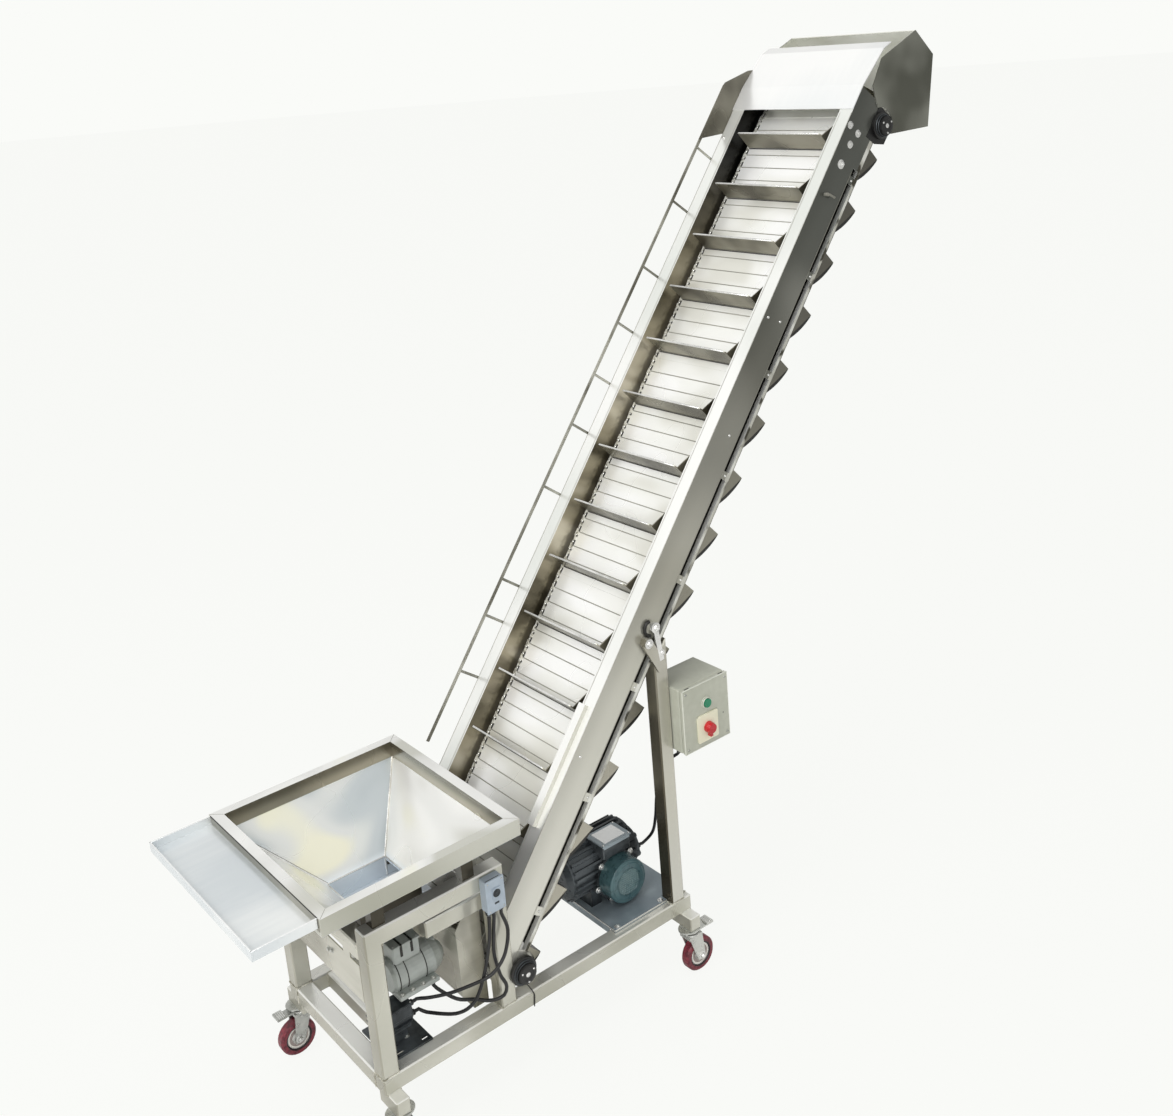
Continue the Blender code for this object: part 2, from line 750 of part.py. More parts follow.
def hood():
    """Sheet over the head, bent down at its upper edge."""
    low = Vector((SHAFT_CENTRES - 0.020, BEAM_TOP_H + GAP))
    crest = Vector((BEAM_TOP_S + 0.004, BEAM_TOP_H + GAP))
    bend = Vector((CHUTE_OUTLINE[4][0] + 0.026, CHUTE_OUTLINE[4][1] + 0.003))
    lip = bend + Vector((0.028, -0.015))
    thick = Vector((0, CHUTE_SHEET))
    under = (low, crest, bend, lip)
    outline = under + tuple(point + thick for point in reversed(under))
    return prism("head_hood", outline, slope_y, -BEAM_OUTER_Y, BEAM_OUTER_Y, SHEET)


hood()

# Guard on the far beam: a flat rail on round rungs, and the plate at the head
GUARD_RISE = 0.062
GUARD_BAR = 0.008
GUARD_SHEET = 0.003
GUARD_S = (0.340, SHAFT_CENTRES - 0.116)
RUNG_RADIUS = 0.0035
RUNG_S = (0.526, 0.675, 0.773, 1.028, 1.203, 1.345, 1.495, 1.660, 1.857, 2.020)


def guard():
    y0 = BEAM_OUTER_Y + GAP
    y1 = y0 + GUARD_SHEET
    height = BEAM_TOP_H + GUARD_RISE
    low, top = height - GUARD_BAR / 2, height + GUARD_BAR / 2
    rail = prism("guard_rail", rectangle(*GUARD_S, low, top), slope_y, y0, y1, STEEL)
    plate_outline = (
        (SHAFT_CENTRES - 0.088, BEAM_TOP_H - 0.006),
        (SHAFT_CENTRES + 0.118, BEAM_TOP_H - 0.014),
        (SHAFT_CENTRES + 0.101, BEAM_TOP_H + 0.007),
        (SHAFT_CENTRES + 0.028, top - 0.003),
        (SHAFT_CENTRES + 0.016, top),
        (SHAFT_CENTRES - 0.149, top),
    )
    plate = prism("plate", plate_outline, slope_y, y0, y1)
    rungs = []
    y = y0 + RUNG_RADIUS + 0.0002
    for s in RUNG_S:
        a = slope_y(s, BEAM_TOP_H - 0.020, y)
        b = slope_y(s, height, y)
        rungs.append(rod("rung", a, b, RUNG_RADIUS, None, 8, slope))
    return join(rail, plate, *rungs)


guard()


# Hopper: rim, four sloping walls, throat and floor, open at the top and the outlet
def frustum(name, top, bottom, paint=None):
    """Closed solid between two level rectangles (x0, x1, half width, z)."""
    bm = bmesh.new()
    rings = []
    for x0, x1, w, z in (top, bottom):
        rings.append([bm.verts.new(p) for p in ((x0, -w, z), (x1, -w, z), (x1, w, z), (x0, w, z))])
    bm.faces.new(rings[0])
    bm.faces.new(list(reversed(rings[1])))
    for i in range(4):
        j = (i + 1) % 4
        bm.faces.new((rings[0][i], rings[1][i], rings[1][j], rings[0][j]))
    return mesh_object(name, bm, paint)


def hopper():
    rim_z = HOPPER_TOP_Z - RIM_HEIGHT
    w = HOPPER_HALF_WIDTH
    body = box("hopper", (HOPPER_X0, HOPPER_X1), (-w, w), (rim_z, HOPPER_TOP_Z), SHEET)
    inner = (HOPPER_X0 + RIM_WIDTH, HOPPER_X1 - RIM_WIDTH, w - RIM_WIDTH)
    t = HOPPER_SHEET
    skirt = frustum(
        "skirt",
        (inner[0] - t, inner[1] + t, inner[2] + t, rim_z + 0.001),
        (THROAT_X0 - t, THROAT_X1 + t, THROAT_HALF_WIDTH + t, THROAT_TOP_Z),
    )
    throat_y = (-THROAT_HALF_WIDTH - t, THROAT_HALF_WIDTH + t)
    throat_z = (THROAT_BOTTOM_Z - t, THROAT_TOP_Z + 0.001)
    throat = box("throat", (THROAT_X0 - t, THROAT_X1 + t), throat_y, throat_z)
    pan = box("pan", (THROAT_X0 - t, -0.108), throat_y, (THROAT_BOTTOM_Z - t, THROAT_BOTTOM_Z + 0.022))
    feet = []
    for x in (-0.325, -0.105):
        for side in (-1, 1):
            y = sorted((side * (FRAME_HALF_WIDTH - 0.008), side * (INNER_Y + 0.006)))
            feet.append(box("foot", (x - 0.015, x + 0.015), y, (STAND_TOP_Z + GAP, 0.640)))
    join(body, skirt, throat, pan, *feet)
    hollow = frustum(
        "hollow",
        (inner[0], inner[1], inner[2], rim_z),
        (THROAT_X0, THROAT_X1, THROAT_HALF_WIDTH, THROAT_TOP_Z),
    )
    mouth = box("mouth", inner[:2], (-inner[2], inner[2]), (rim_z - 0.001, HOPPER_TOP_Z + 0.01))
    open_y = (-THROAT_HALF_WIDTH, THROAT_HALF_WIDTH)
    well = box("well", (THROAT_X0, THROAT_X1), open_y, (THROAT_BOTTOM_Z, THROAT_TOP_Z + 0.001))
    outlet = box("outlet", (THROAT_X1 - 0.01, 0.0), open_y, (THROAT_BOTTOM_Z, THROAT_BOTTOM_Z + 0.040))
    return cut(body, hollow, mouth, well, outlet)


hopper()


def tray():
    w = TRAY_HALF_WIDTH
    t = TRAY_SHEET
    x = (TRAY_X0, HOPPER_X0 - GAP)
    obj = box("side_tray", x, (-w, w), (HOPPER_TOP_Z - TRAY_DEPTH, HOPPER_TOP_Z), SHEET)
    inside = box("inside", (x[0] + t, x[1] + 0.01), (t - w, w - t), (HOPPER_TOP_Z - TRAY_DEPTH + t, 1.0))
    return cut(obj, inside)


tray()


# Boot round the lower end of the chain, under the hopper's outlet
BOOT_X0 = -0.128
BOOT_BEND_Z = 0.245
BOOT_TOE = 0.026


def boot():
    w = BEAM_INNER_Y - 0.002
    t = BEAM_SHEET
    x1 = MID_POST_X - 0.002
    base = RAIL_TOP_Z - 0.004
    outer = (
        (BOOT_X0, BOOT_BEND_Z),
        (BOOT_X0, BOOT_TOP_Z - 0.035),
        (BOOT_X0 + 0.025, BOOT_TOP_Z),
        (x1, BOOT_TOP_Z),
        (x1, base),
        (BOOT_X0 + BOOT_TOE, base),
    )
    obj = prism("boot", outer, along_y, -w, w, SHEET)
    above = BOOT_TOP_Z + 0.015
    inner = (
        (BOOT_X0 + t, BOOT_BEND_Z + 0.001),
        (BOOT_X0 + t, above),
        (0, above),
        (0, 0.1),
        (BOOT_X0 + BOOT_TOE + t, base + t),
    )
    inside = prism("inside", inner, along_y, -w + t, w - t)
    return cut(obj, inside)


boot()

# Motor on its plate
PLATE_Z = (RAIL_TOP_Z + GAP, RAIL_TOP_Z + GAP + PLATE_THICKNESS)


def motor_plate():
    """Plate across both rails, notched round the legs, with its edges folded down."""
    y = FRAME_HALF_WIDTH - PLATE_TO_RAIL_SIDE
    x1 = FRAME_REAR_X - 0.004
    plate = box("motor_plate", (PLATE_FRONT_X, x1), (-y, y), PLATE_Z, PLATE)
    inside = INNER_Y - 0.004
    low = PLATE_Z[0] - 0.014
    fold = box("fold", (PLATE_FRONT_X, PLATE_FRONT_X + 0.003), (-inside, inside), (low, PLATE_Z[0] + 0.001))
    notches = []
    for side in (-1, 1):
        reach = sorted((side * (INNER_Y - 0.001), side * 0.3))
        notches.append(box("notch", (LEG_X - 0.001, LEG_X + TUBE + GUSSET), reach, (0.1, 0.3)))
    return cut(join(plate, fold), *notches)


motor_plate()

FLANGE_Y = FAN_COVER_FRONT_Y + FAN_COVER_DEPTH + GAP
DISC_X = HOUSING_X[1] + END_CAP / 2 + COVER_DISC_DEPTH


def motor():
    """Ribbed housing, its end caps and feet, the fan's flange and the terminal box."""
    outline = ribbed(HOUSING_RADIUS, RIB_DEPTH, RIB_COUNT)
    outline = [(HOUSING_Y + u, HOUSING_Z + v) for u, v in outline]
    body = prism("motor", outline, along_x, *HOUSING_X, CAST)
    core = HOUSING_RADIUS - RIB_DEPTH - 0.0015
    centre = (0, HOUSING_Y, HOUSING_Z)
    x0, x1 = HOUSING_X
    caps = (
        (core - 0.014, x0 - END_CAP),
        (core, x0 - END_CAP / 3),
        (core, x1 + END_CAP / 2),
        (core - 0.010, x1 + END_CAP / 2 + 0.003),
    )
    pieces = [turned("caps", caps, centre, (1, 0, 0), None, 32)]
    disc = (FAN_Z - HOUSING_Z) / 2 + HOUSING_Z
    at = (x1, HOUSING_Y, disc)
    pieces.append(rod("disc", at, (DISC_X, HOUSING_Y, disc), COVER_DISC_RADIUS, None, 28))
    gland = (DISC_X + GLAND_LENGTH, HOUSING_Y - 0.034, disc)
    pieces.append(rod("gland", (DISC_X - 0.005, *gland[1:]), gland, GLAND_RADIUS, None, 8))
    flange = (FAN_X, FLANGE_Y, FAN_Z)
    pieces.append(rod("flange", flange, (FAN_X, FLANGE_Y + FAN_FLANGE, FAN_Z), FAN_FLANGE_RADIUS, None, 32))
    inward = (FAN_X, HOUSING_Y, FAN_Z)
    pieces.append(rod("neck", (FAN_X, FLANGE_Y + 0.002, FAN_Z), inward, FAN_FLANGE_RADIUS - 0.012, None, 24))
    foot_z = (PLATE_Z[1] + GAP, HOUSING_Z - core * 0.6)
    for x in (x0 + 0.045, x1 - 0.055):
        pieces.append(box("foot", (x, x + 0.030), (HOUSING_Y - 0.060, HOUSING_Y + 0.060), foot_z))
    lid_z = (HOUSING_Z + 0.02, 0.372)
    pieces.append(box("terminal_box", (0.333, 0.418), (-0.112, -0.046), (0.334, lid_z[1]), None, 0.003))
    pieces.append(box("terminal_neck", (0.340, 0.411), (-0.086, -0.046), (0.300, 0.337)))
    return join(body, *pieces)


motor()


def fan_cover():
    """Round cover with a rolled edge and the sunk disc of its grille."""
    r = FAN_COVER_RADIUS
    profile = (
        (GRILLE_RADIUS, 0.003),
        (GRILLE_RADIUS + 0.002, 0.0),
        (r - 0.010, 0.0),
        (r - 0.003, 0.003),
        (r, 0.010),
        (r, FAN_COVER_DEPTH),
    )
    return turned("fan_cover", profile, (FAN_X, FAN_COVER_FRONT_Y, FAN_Z), (0, 1, 0), TEAL, 36)


fan_cover()

# Vibrator under the hopper's pan
VIBRATOR_X = (-0.275, -0.171)
VIBRATOR_Y = -0.105
VIBRATOR_Z = 0.345
VIBRATOR_RADIUS = 0.040
VIBRATOR_LIP_Z = VIBRATOR_Z - VIBRATOR_RADIUS + 0.003
VIBRATOR_GLAND = (VIBRATOR_X[1] - 0.008, VIBRATOR_Y - 0.030, VIBRATOR_LIP_Z - GLAND_LENGTH)


def vibrator():
    """Round body with a domed end, hung by its saddle from the feeder's pan."""
    top = THROAT_BOTTOM_Z - HOPPER_SHEET - GAP
    x0, x1 = VIBRATOR_X
    r = VIBRATOR_RADIUS
    profile = [(r - 0.006, x0), (r, x0 + 0.006), (r, x1)]
    for i in range(1, 6):
        a = math.pi / 2 * i / 6
        profile.append(((r - 0.003) * math.cos(a), x1 + (r - 0.003) * math.sin(a)))
    body = turned("vibrator", profile, (0, VIBRATOR_Y, VIBRATOR_Z), (1, 0, 0), GREY, 28)
    y = VIBRATOR_Y
    lip_z = (VIBRATOR_LIP_Z, VIBRATOR_LIP_Z + 0.012)
    lip = box("lip", (x0 + 0.002, x1 - 0.002), (y - 0.052, y + 0.045), lip_z, None, 0.002)
    block_z = (VIBRATOR_Z, VIBRATOR_Z + r + 0.034)
    block = box("block", (x0 + 0.012, x1 - 0.025), (y - 0.022, y + 0.022), block_z, None, 0.003)
    saddle = box("saddle", (x0 + 0.030, x1 - 0.020), (y + 0.010, y + 0.055), (VIBRATOR_Z, top))
    port_at = (x1 - 0.020, y + 0.005, VIBRATOR_Z + 0.024)
    port = rod("port", port_at, (x1 + 0.020, y + 0.005, VIBRATOR_Z + 0.024), 0.014, None, 16)
    gx, gy, gz = VIBRATOR_GLAND
    gland = rod("gland", (gx, gy, VIBRATOR_LIP_Z + 0.002), (gx, gy, gz), GLAND_RADIUS, None, 8)
    return join(body, lip, block, saddle, port, gland)


vibrator()

# Small motor on the front part of the base
LOW_MOTOR_Y = -0.115
LOW_MOTOR_Z = 0.252
LOW_MOTOR_RADIUS = 0.037
LOW_MOTOR_X = (-0.322, -0.250)
LOW_PLATE_X = (FRAME_FRONT_X + TUBE + GAP, -0.224)
LOW_GLAND = (LOW_MOTOR_X[1] + 0.022, LOW_MOTOR_Y - 0.010, LOW_MOTOR_Z - 0.010)
LOW_BOX_GLAND = (LOW_MOTOR_X[1] + GLAND_LENGTH, LOW_MOTOR_Y - 0.030, LOW_MOTOR_Z + 0.034)


def low_motor():
    """Ribbed motor on a foot plate with two slots."""
    plate_z = (RAIL_TOP_Z + GAP, RAIL_TOP_Z + GAP + 0.005)
    plate = box("low_motor", LOW_PLATE_X, (-INNER_Y - 0.008, LOW_MOTOR_Y + 0.060), plate_z, CAST)
    slots = []
    slot_y = -INNER_Y + 0.006
    for x in (MID_CROSS_X - 0.012, MID_CROSS_X + TUBE + 0.010):
        slots.append(box("slot", (x - 0.008, x + 0.008), (slot_y - 0.004, slot_y + 0.004), (0.1, 0.3)))
    cut(plate, *slots)
    outline = [(LOW_MOTOR_Y + u, LOW_MOTOR_Z + v) for u, v in ribbed(LOW_MOTOR_RADIUS, 0.005, 16)]
    body = prism("body", outline, along_x, *LOW_MOTOR_X)
    x0, x1 = LOW_MOTOR_X
    core = LOW_MOTOR_RADIUS - 0.006
    profile = ((core - 0.008, x0 - 0.004), (core, x0 + 0.002), (core, x1 + 0.005), (core - 0.008, x1 + 0.012))
    caps = turned("caps", profile, (0, LOW_MOTOR_Y, LOW_MOTOR_Z), (1, 0, 0), None, 20)
    foot_y = (LOW_MOTOR_Y - 0.030, LOW_MOTOR_Y + 0.030)
    foot = box("foot", (x0 + 0.010, x1 - 0.010), foot_y, (plate_z[1] - 0.001, LOW_MOTOR_Z - 0.020))
    box_y = (LOW_MOTOR_Y - 0.045, LOW_MOTOR_Y + 0.005)
    box_z = (LOW_MOTOR_Z + 0.015, LOW_MOTOR_Z + 0.046)
    terminals = box("terminals", (x0 + 0.012, x1), box_y, box_z, None, 0.002)
    glands = []
    for x, y, z in (LOW_GLAND, LOW_BOX_GLAND):
        glands.append(rod("gland", (x - 0.018, y, z), (x, y, z), GLAND_RADIUS, None, 8))
    return join(plate, body, caps, foot, terminals, *glands)


low_motor()

# Switch box on the stand, and the control box on the rear leg
SWITCH_X = (-0.086, -0.040)
SWITCH_Z = (STAND_TOP_Z - 0.083, STAND_TOP_Z - 0.006)
SWITCH_DEPTH = 0.028
SWITCH_FACE = 0.004
SWITCH_GLAND_X = (-0.0785, -0.0655, -0.0460)
SWITCH_GLAND_Y = -FRAME_HALF_WIDTH - 0.014


def switch_box():
    """Box screwed to the post, with its cover and three glands underneath."""
    back = -FRAME_HALF_WIDTH - GAP
    front = -FRAME_HALF_WIDTH - SWITCH_DEPTH
    body = box("switch_box", SWITCH_X, (front + SWITCH_FACE, back), SWITCH_Z, SWITCH_PLASTIC, 0.002)
    face_x = (SWITCH_X[0] - 0.001, SWITCH_X[1] + 0.001)
    face_z = (SWITCH_Z[0] - 0.001, SWITCH_Z[1] + 0.001)
    pieces = [box("face", face_x, (front, front + SWITCH_FACE + 0.001), face_z, None, 0.001)]
    rocker_x = (SWITCH_X[0] + 0.014, SWITCH_X[1] - 0.012)
    rocker_z = (SWITCH_Z[0] + 0.033, SWITCH_Z[0] + 0.057)
    pieces.append(box("rocker", rocker_x, (front - 0.003, front + 0.001), rocker_z))
    for x in SWITCH_GLAND_X:
        top = (x, SWITCH_GLAND_Y, SWITCH_Z[0] + 0.003)
        end = (x, SWITCH_GLAND_Y, SWITCH_Z[0] - GLAND_LENGTH)
        pieces.append(rod("gland", top, end, GLAND_RADIUS, None, 8))
    return join(body, *pieces)


switch_box()

BOX_X1 = BOX_X0 + BOX_WIDTH
BUTTON_X = BOX_X0 + 0.074
BUTTON_Z = BOX_Z0 + 0.113
KNOB_Z = BOX_Z0 + 0.050
BOX_GLAND = (BOX_X0 + 0.024, BOX_FRONT_Y + 0.055, BOX_Z0 - GLAND_LENGTH)
LEG_CABLE = (BOX_X0 + 0.014, BOX_FRONT_Y + 0.040, BOX_Z0 - GLAND_LENGTH)


def control_box():
    """Case and lid with a seam between them, a bezel, the knob's plate and two glands."""
    x, z = (BOX_X0, BOX_X1), (BOX_Z0, BOX_Z1)
    lid_back = BOX_FRONT_Y + BOX_LID
    s = BOX_SEAM
    case = box("control_box", x, (lid_back + s, BOX_FRONT_Y + BOX_DEPTH), z, BOX_PAINT, 0.003)
    pieces = [box("lid", x, (BOX_FRONT_Y, lid_back), z, None, 0.003)]
    deep = s + 0.003
    seam_x, seam_z = (BOX_X0 + deep, BOX_X1 - deep), (BOX_Z0 + deep, BOX_Z1 - deep)
    pieces.append(box("seam", seam_x, (lid_back - 0.004, lid_back + s + 0.004), seam_z))
    front = BOX_FRONT_Y
    button_line = [(BUTTON_X, front + d, BUTTON_Z) for d in (0.002, -0.004)]
    pieces.append(rod("bezel", *button_line, BUTTON_RADIUS + 0.0035, None, 24))
    plate_x, plate_z = (BUTTON_X - 0.033, BUTTON_X + 0.033), (KNOB_Z - 0.035, KNOB_Z + 0.035)
    pieces.append(box("plate", plate_x, (front - 0.003, front + 0.001), plate_z))
    for at in (BOX_GLAND, LEG_CABLE):
        pieces.append(rod("gland", (at[0], at[1], BOX_Z0 + 0.003), at, GLAND_RADIUS, None, 8))
    join(case, *pieces)
    hole_line = [(BUTTON_X, front + d, BUTTON_Z) for d in (0.012, -0.1)]
    hole = rod("hole", *hole_line, BUTTON_RADIUS + 0.0005, None, 24)
    return cut(case, hole)


control_box()

button_at = (BUTTON_X, BOX_FRONT_Y - 0.008, BUTTON_Z)
button = rod("start_button", button_at, (BUTTON_X, BOX_FRONT_Y + 0.006, BUTTON_Z), BUTTON_RADIUS, GREEN, 24)
centred_on(button, button_at)

knob_at = (BUTTON_X, BOX_FRONT_Y - 0.003 - GAP, KNOB_Z)
knob_reach = KNOB_REACH - 0.003 - GAP
knob_profile = ((KNOB_RADIUS, 0), (KNOB_RADIUS, knob_reach * 0.55), (KNOB_RADIUS * 0.86, knob_reach))
knob = turned("rotary_knob", knob_profile, knob_at, (0, -1, 0), RED, 24)
pointer_y = sorted((knob_at[1] - 0.001, knob_at[1] - knob_reach * 0.7))
pointer_z = (KNOB_Z - KNOB_RADIUS - 0.008, KNOB_Z)
join(knob, box("pointer", (BUTTON_X - 0.004, BUTTON_X + 0.004), pointer_y, pointer_z))
centred_on(knob, knob_at)


# Casters
def caster(name, x, side, toward):
    """Fork on its swivel axis with its top plate and pedal, and wheel on its axle."""
    y = side * CASTER_Y
    top = CASTER_BOX_Z - GAP
    axle_x = x + toward * CASTER_TRAIL
    half = WHEEL_WIDTH / 2
    oval = []
    for i in range(20):
        a = math.tau * i / 20
        oval.append((x + FORK_PLATE[0] * math.cos(a), y + FORK_PLATE[1] * math.sin(a)))
    fork = prism(name + "_fork", oval, along_z, top - 0.004, top, ZINC)
    collar_profile = ((0.021, 0.003), (0.021, 0.010), (0.018, 0.024))
    collar = turned("collar", collar_profile, (x, y, top), (0, 0, -1), None, 20)
    cheek_plates = []
    for k in (-1, 1):
        y0, y1 = sorted((y + k * (half + 0.002), y + k * (half + 0.005)))
        outline = (
            (x - toward * 0.020, top - 0.018),
            (x + toward * 0.022, top - 0.018),
            (axle_x + toward * 0.012, WHEEL_RADIUS - 0.010),
            (axle_x - toward * 0.012, WHEEL_RADIUS - 0.010),
        )
        cheek_plates.append(prism("cheek", outline, along_y, y0, y1))
    bridge_x = sorted((x - toward * 0.020, x + toward * 0.022))
    bridge = box("bridge", bridge_x, (y - half - 0.005, y + half + 0.005), (top - 0.026, top - 0.018))
    pedal_x = sorted((x + toward * 0.010, x + toward * PEDAL_REACH))
    pedal = box("pedal", pedal_x, (y - 0.012, y + 0.012), (top - 0.016, top - 0.012))
    tread_x = sorted((x + toward * (PEDAL_REACH - 0.018), x + toward * (PEDAL_REACH + 0.004)))
    tread = box("tread", tread_x, (y - 0.016, y + 0.016), (top - 0.014, top - 0.008), None, 0.001)
    axle_y = half + 0.009
    axle_line = [(axle_x, y + reach, WHEEL_RADIUS) for reach in (-axle_y, axle_y)]
    axle = rod("axle", *axle_line, 0.0045, None, 12)
    nuts = []
    for k in (-1, 1):
        ends = [(axle_x, y + k * reach, WHEEL_RADIUS) for reach in (half + 0.003, axle_y - 0.001)]
        nuts.append(rod("nut", *ends, 0.008, None, 6))
    join(fork, collar, bridge, pedal, tread, *cheek_plates, axle, *nuts)
    centred_on(fork, (x, y, top))
    wheel_at = (axle_x, y, WHEEL_RADIUS)
    rim = WHEEL_RADIUS - TREAD_DEPTH
    near_side = (
        (0.014, -half),
        (0.016, 0.004 - half),
        (rim - 0.006, 0.004 - half),
        (rim - 0.003, 0.0005 - half),
        (WHEEL_RADIUS - 0.004, 0.0005 - half),
        (WHEEL_RADIUS, 0.0045 - half),
    )
    profile = near_side + tuple((r, -d) for r, d in reversed(near_side))
    wheel = turned(name + "_wheel", profile, wheel_at, (0, 1, 0), TREAD, 30)
    bore_line = [(axle_x, y + reach, WHEEL_RADIUS) for reach in (-0.05, 0.05)]
    bore = rod("bore", *bore_line, 0.0045 + GAP, None, 12)
    cut(wheel, bore)
    centred_on(wheel, wheel_at)


caster("caster_front_near", FRONT_CASTER_X, -1, -1)
caster("caster_front_far", FRONT_CASTER_X, 1, -1)
caster("caster_rear_near", REAR_CASTER_X, -1, 1)
caster("caster_rear_far", REAR_CASTER_X, 1, 1)

# Cables, each a smooth curve through the points of its route
def smooth_route(points, spacing):
    """Evenly spaced points on a Catmull-Rom curve, with both ends square to their glands."""
    points = [Vector(p) for p in points]
    ends = [points[0] * 2 - points[1]] + points + [points[-1] * 2 - points[-2]]
    fine = []
    for p0, p1, p2, p3 in zip(ends, ends[1:], ends[2:], ends[3:]):
        for i in range(24):
            t = i / 24
            fine.append(0.5 * (2 * p1 + (p2 - p0) * t + (2 * p0 - 5 * p1 + 4 * p2 - p3) * t * t
                               + (3 * p1 - p0 - 3 * p2 + p3) * t * t * t))
    fine.append(points[-1])
    length = sum((b - a).length for a, b in zip(fine, fine[1:]))
    count = round(length / spacing)
    step = length / count
    even, run = [fine[0]], 0.0
    for a, b in zip(fine, fine[1:]):
        span = (b - a).length
        while run + span >= step * len(even) and len(even) < count:
            even.append(a.lerp(b, (step * len(even) - run) / span))
        run += span
    even.append(fine[-1])
    even.insert(1, points[0] + (points[1] - points[0]).normalized() * 0.005)
    even.insert(-1, points[-1] + (points[-2] - points[-1]).normalized() * 0.005)
    return even


def cable(name, route, radius=CABLE_RADIUS):
    curve = bpy.data.curves.new(name, "CURVE")
    curve.dimensions = "3D"
    curve.bevel_depth = radius
    curve.bevel_resolution = 2
    curve.use_fill_caps = True
    points = smooth_route(route, radius * 5)
    spline = curve.splines.new("POLY")
    spline.points.add(len(points) - 1)
    for point, place in zip(spline.points, points):
        point.co = (*place, 1)
    curve.materials.append(BLACK)
    obj = bpy.data.objects.new(name, curve)
    bpy.context.collection.objects.link(obj)
    obj.parent = machine
    return obj


def beyond(gland, way):
    """Where a cable starts: the clearance outside its gland's end."""
    return Vector(gland) + Vector(way) * GAP


DOWN = Vector((0, 0, -1))
AFT = Vector((1, 0, 0))
starts = [beyond((x, SWITCH_GLAND_Y, SWITCH_Z[0] - GLAND_LENGTH), DOWN) for x in SWITCH_GLAND_X]
cable("cable_low_motor", (
    starts[0],
    starts[0] + DOWN * 0.012,
    (-0.084, -0.233, 0.402),
    (-0.104, -0.230, 0.326),
    (-0.131, -0.223, 0.268),
    (-0.162, -0.194, 0.238),
    (-0.203, -0.138, 0.232),
    beyond(LOW_GLAND, AFT) + AFT * 0.010,
    beyond(LOW_GLAND, AFT),
))
cable("cable_vibrator", (
    starts[1],
    starts[1] + DOWN * 0.012,
    (-0.075, -0.232, 0.371),
    (-0.066, -0.232, 0.306),
    (-0.053, -0.233, 0.270),
    (-0.062, -0.231, 0.247),
    (-0.088, -0.218, 0.242),
    (-0.118, -0.200, 0.252),
    (-0.149, -0.184, 0.261),
    (-0.167, -0.156, 0.272),
    beyond(VIBRATOR_GLAND, DOWN) + DOWN * 0.012,
    beyond(VIBRATOR_GLAND, DOWN),
))
cable("cable_feeder", (
    starts[2],
    starts[2] + DOWN * 0.012,
    (-0.036, -0.236, 0.406),
    (-0.052, -0.243, 0.362),
    (-0.076, -0.246, 0.338),
    (-0.103, -0.242, 0.324),
    (-0.139, -0.219, 0.309),
    (-0.174, -0.190, 0.294),
    (-0.208, -0.162, 0.287),
    beyond(LOW_BOX_GLAND, AFT) + AFT * 0.012,
    beyond(LOW_BOX_GLAND, AFT),
))
MOTOR_GLAND = (DISC_X + GLAND_LENGTH, HOUSING_Y - 0.034, (FAN_Z + HOUSING_Z) / 2)
cable("cable_motor", (
    beyond(BOX_GLAND, DOWN),
    beyond(BOX_GLAND, DOWN) + DOWN * 0.012,
    (0.507, -0.175, 0.560),
    (0.497, -0.152, 0.510),
    (0.497, -0.132, 0.450),
    (0.508, -0.108, 0.377),
    (0.517, -0.080, 0.315),
    beyond(MOTOR_GLAND, AFT) + AFT * 0.014,
    beyond(MOTOR_GLAND, AFT),
))

for obj in bpy.data.objects:
    if obj.type == "MESH":
        obj.data.shade_smooth()
        obj.data.set_sharp_from_angle(angle=math.radians(32))
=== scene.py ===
import json
import random
from functools import partialmethod
from itertools import product
from math import cos, pi, radians, sin, sqrt, tan, tau

import bmesh
import bpy
from mathutils import Matrix, Vector


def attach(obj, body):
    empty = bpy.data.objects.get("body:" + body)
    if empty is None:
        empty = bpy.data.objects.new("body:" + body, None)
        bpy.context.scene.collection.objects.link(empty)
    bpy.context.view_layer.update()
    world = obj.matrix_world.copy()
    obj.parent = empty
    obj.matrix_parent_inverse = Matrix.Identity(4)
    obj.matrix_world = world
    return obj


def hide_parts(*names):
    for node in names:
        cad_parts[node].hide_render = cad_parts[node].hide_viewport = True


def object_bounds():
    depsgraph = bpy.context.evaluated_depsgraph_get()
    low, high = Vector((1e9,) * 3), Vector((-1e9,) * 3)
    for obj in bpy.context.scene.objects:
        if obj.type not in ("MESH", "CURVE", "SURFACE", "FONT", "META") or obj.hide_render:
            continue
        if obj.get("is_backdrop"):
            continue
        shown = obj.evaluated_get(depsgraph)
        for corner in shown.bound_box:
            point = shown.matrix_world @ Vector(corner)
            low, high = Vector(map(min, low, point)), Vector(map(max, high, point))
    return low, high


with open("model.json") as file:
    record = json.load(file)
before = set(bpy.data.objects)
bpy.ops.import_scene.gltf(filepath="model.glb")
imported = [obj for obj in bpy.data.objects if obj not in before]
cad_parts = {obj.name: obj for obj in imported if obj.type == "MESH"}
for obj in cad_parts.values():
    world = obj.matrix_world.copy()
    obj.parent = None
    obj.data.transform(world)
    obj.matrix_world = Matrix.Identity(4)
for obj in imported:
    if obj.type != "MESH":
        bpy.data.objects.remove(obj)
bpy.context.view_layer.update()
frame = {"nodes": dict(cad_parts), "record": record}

NODES = frame["nodes"]
DRAW = random.Random(7)      # for the sizes of the lumps in the weld beads

# Where the tail shaft lies in the frame, and the slope's angle
TAIL_X = -0.46613
TAIL_Y = 0.0095
TAIL_Z = 0.272
INCLINE = radians(52.8)
COS, SIN = cos(INCLINE), sin(INCLINE)
PITCH = 0.0381
SLATS = 124
TEETH = 9
WRAP = TEETH * PITCH / tau
SPAN = (SLATS - TEETH) / 2 * PITCH
SLAT_HALF = 0.0025
BEAM_Y = 0.212
FRAME_Y = 0.219
BEAM_TOP = 0.11
RETURN_BAR_TOP = 0.0125


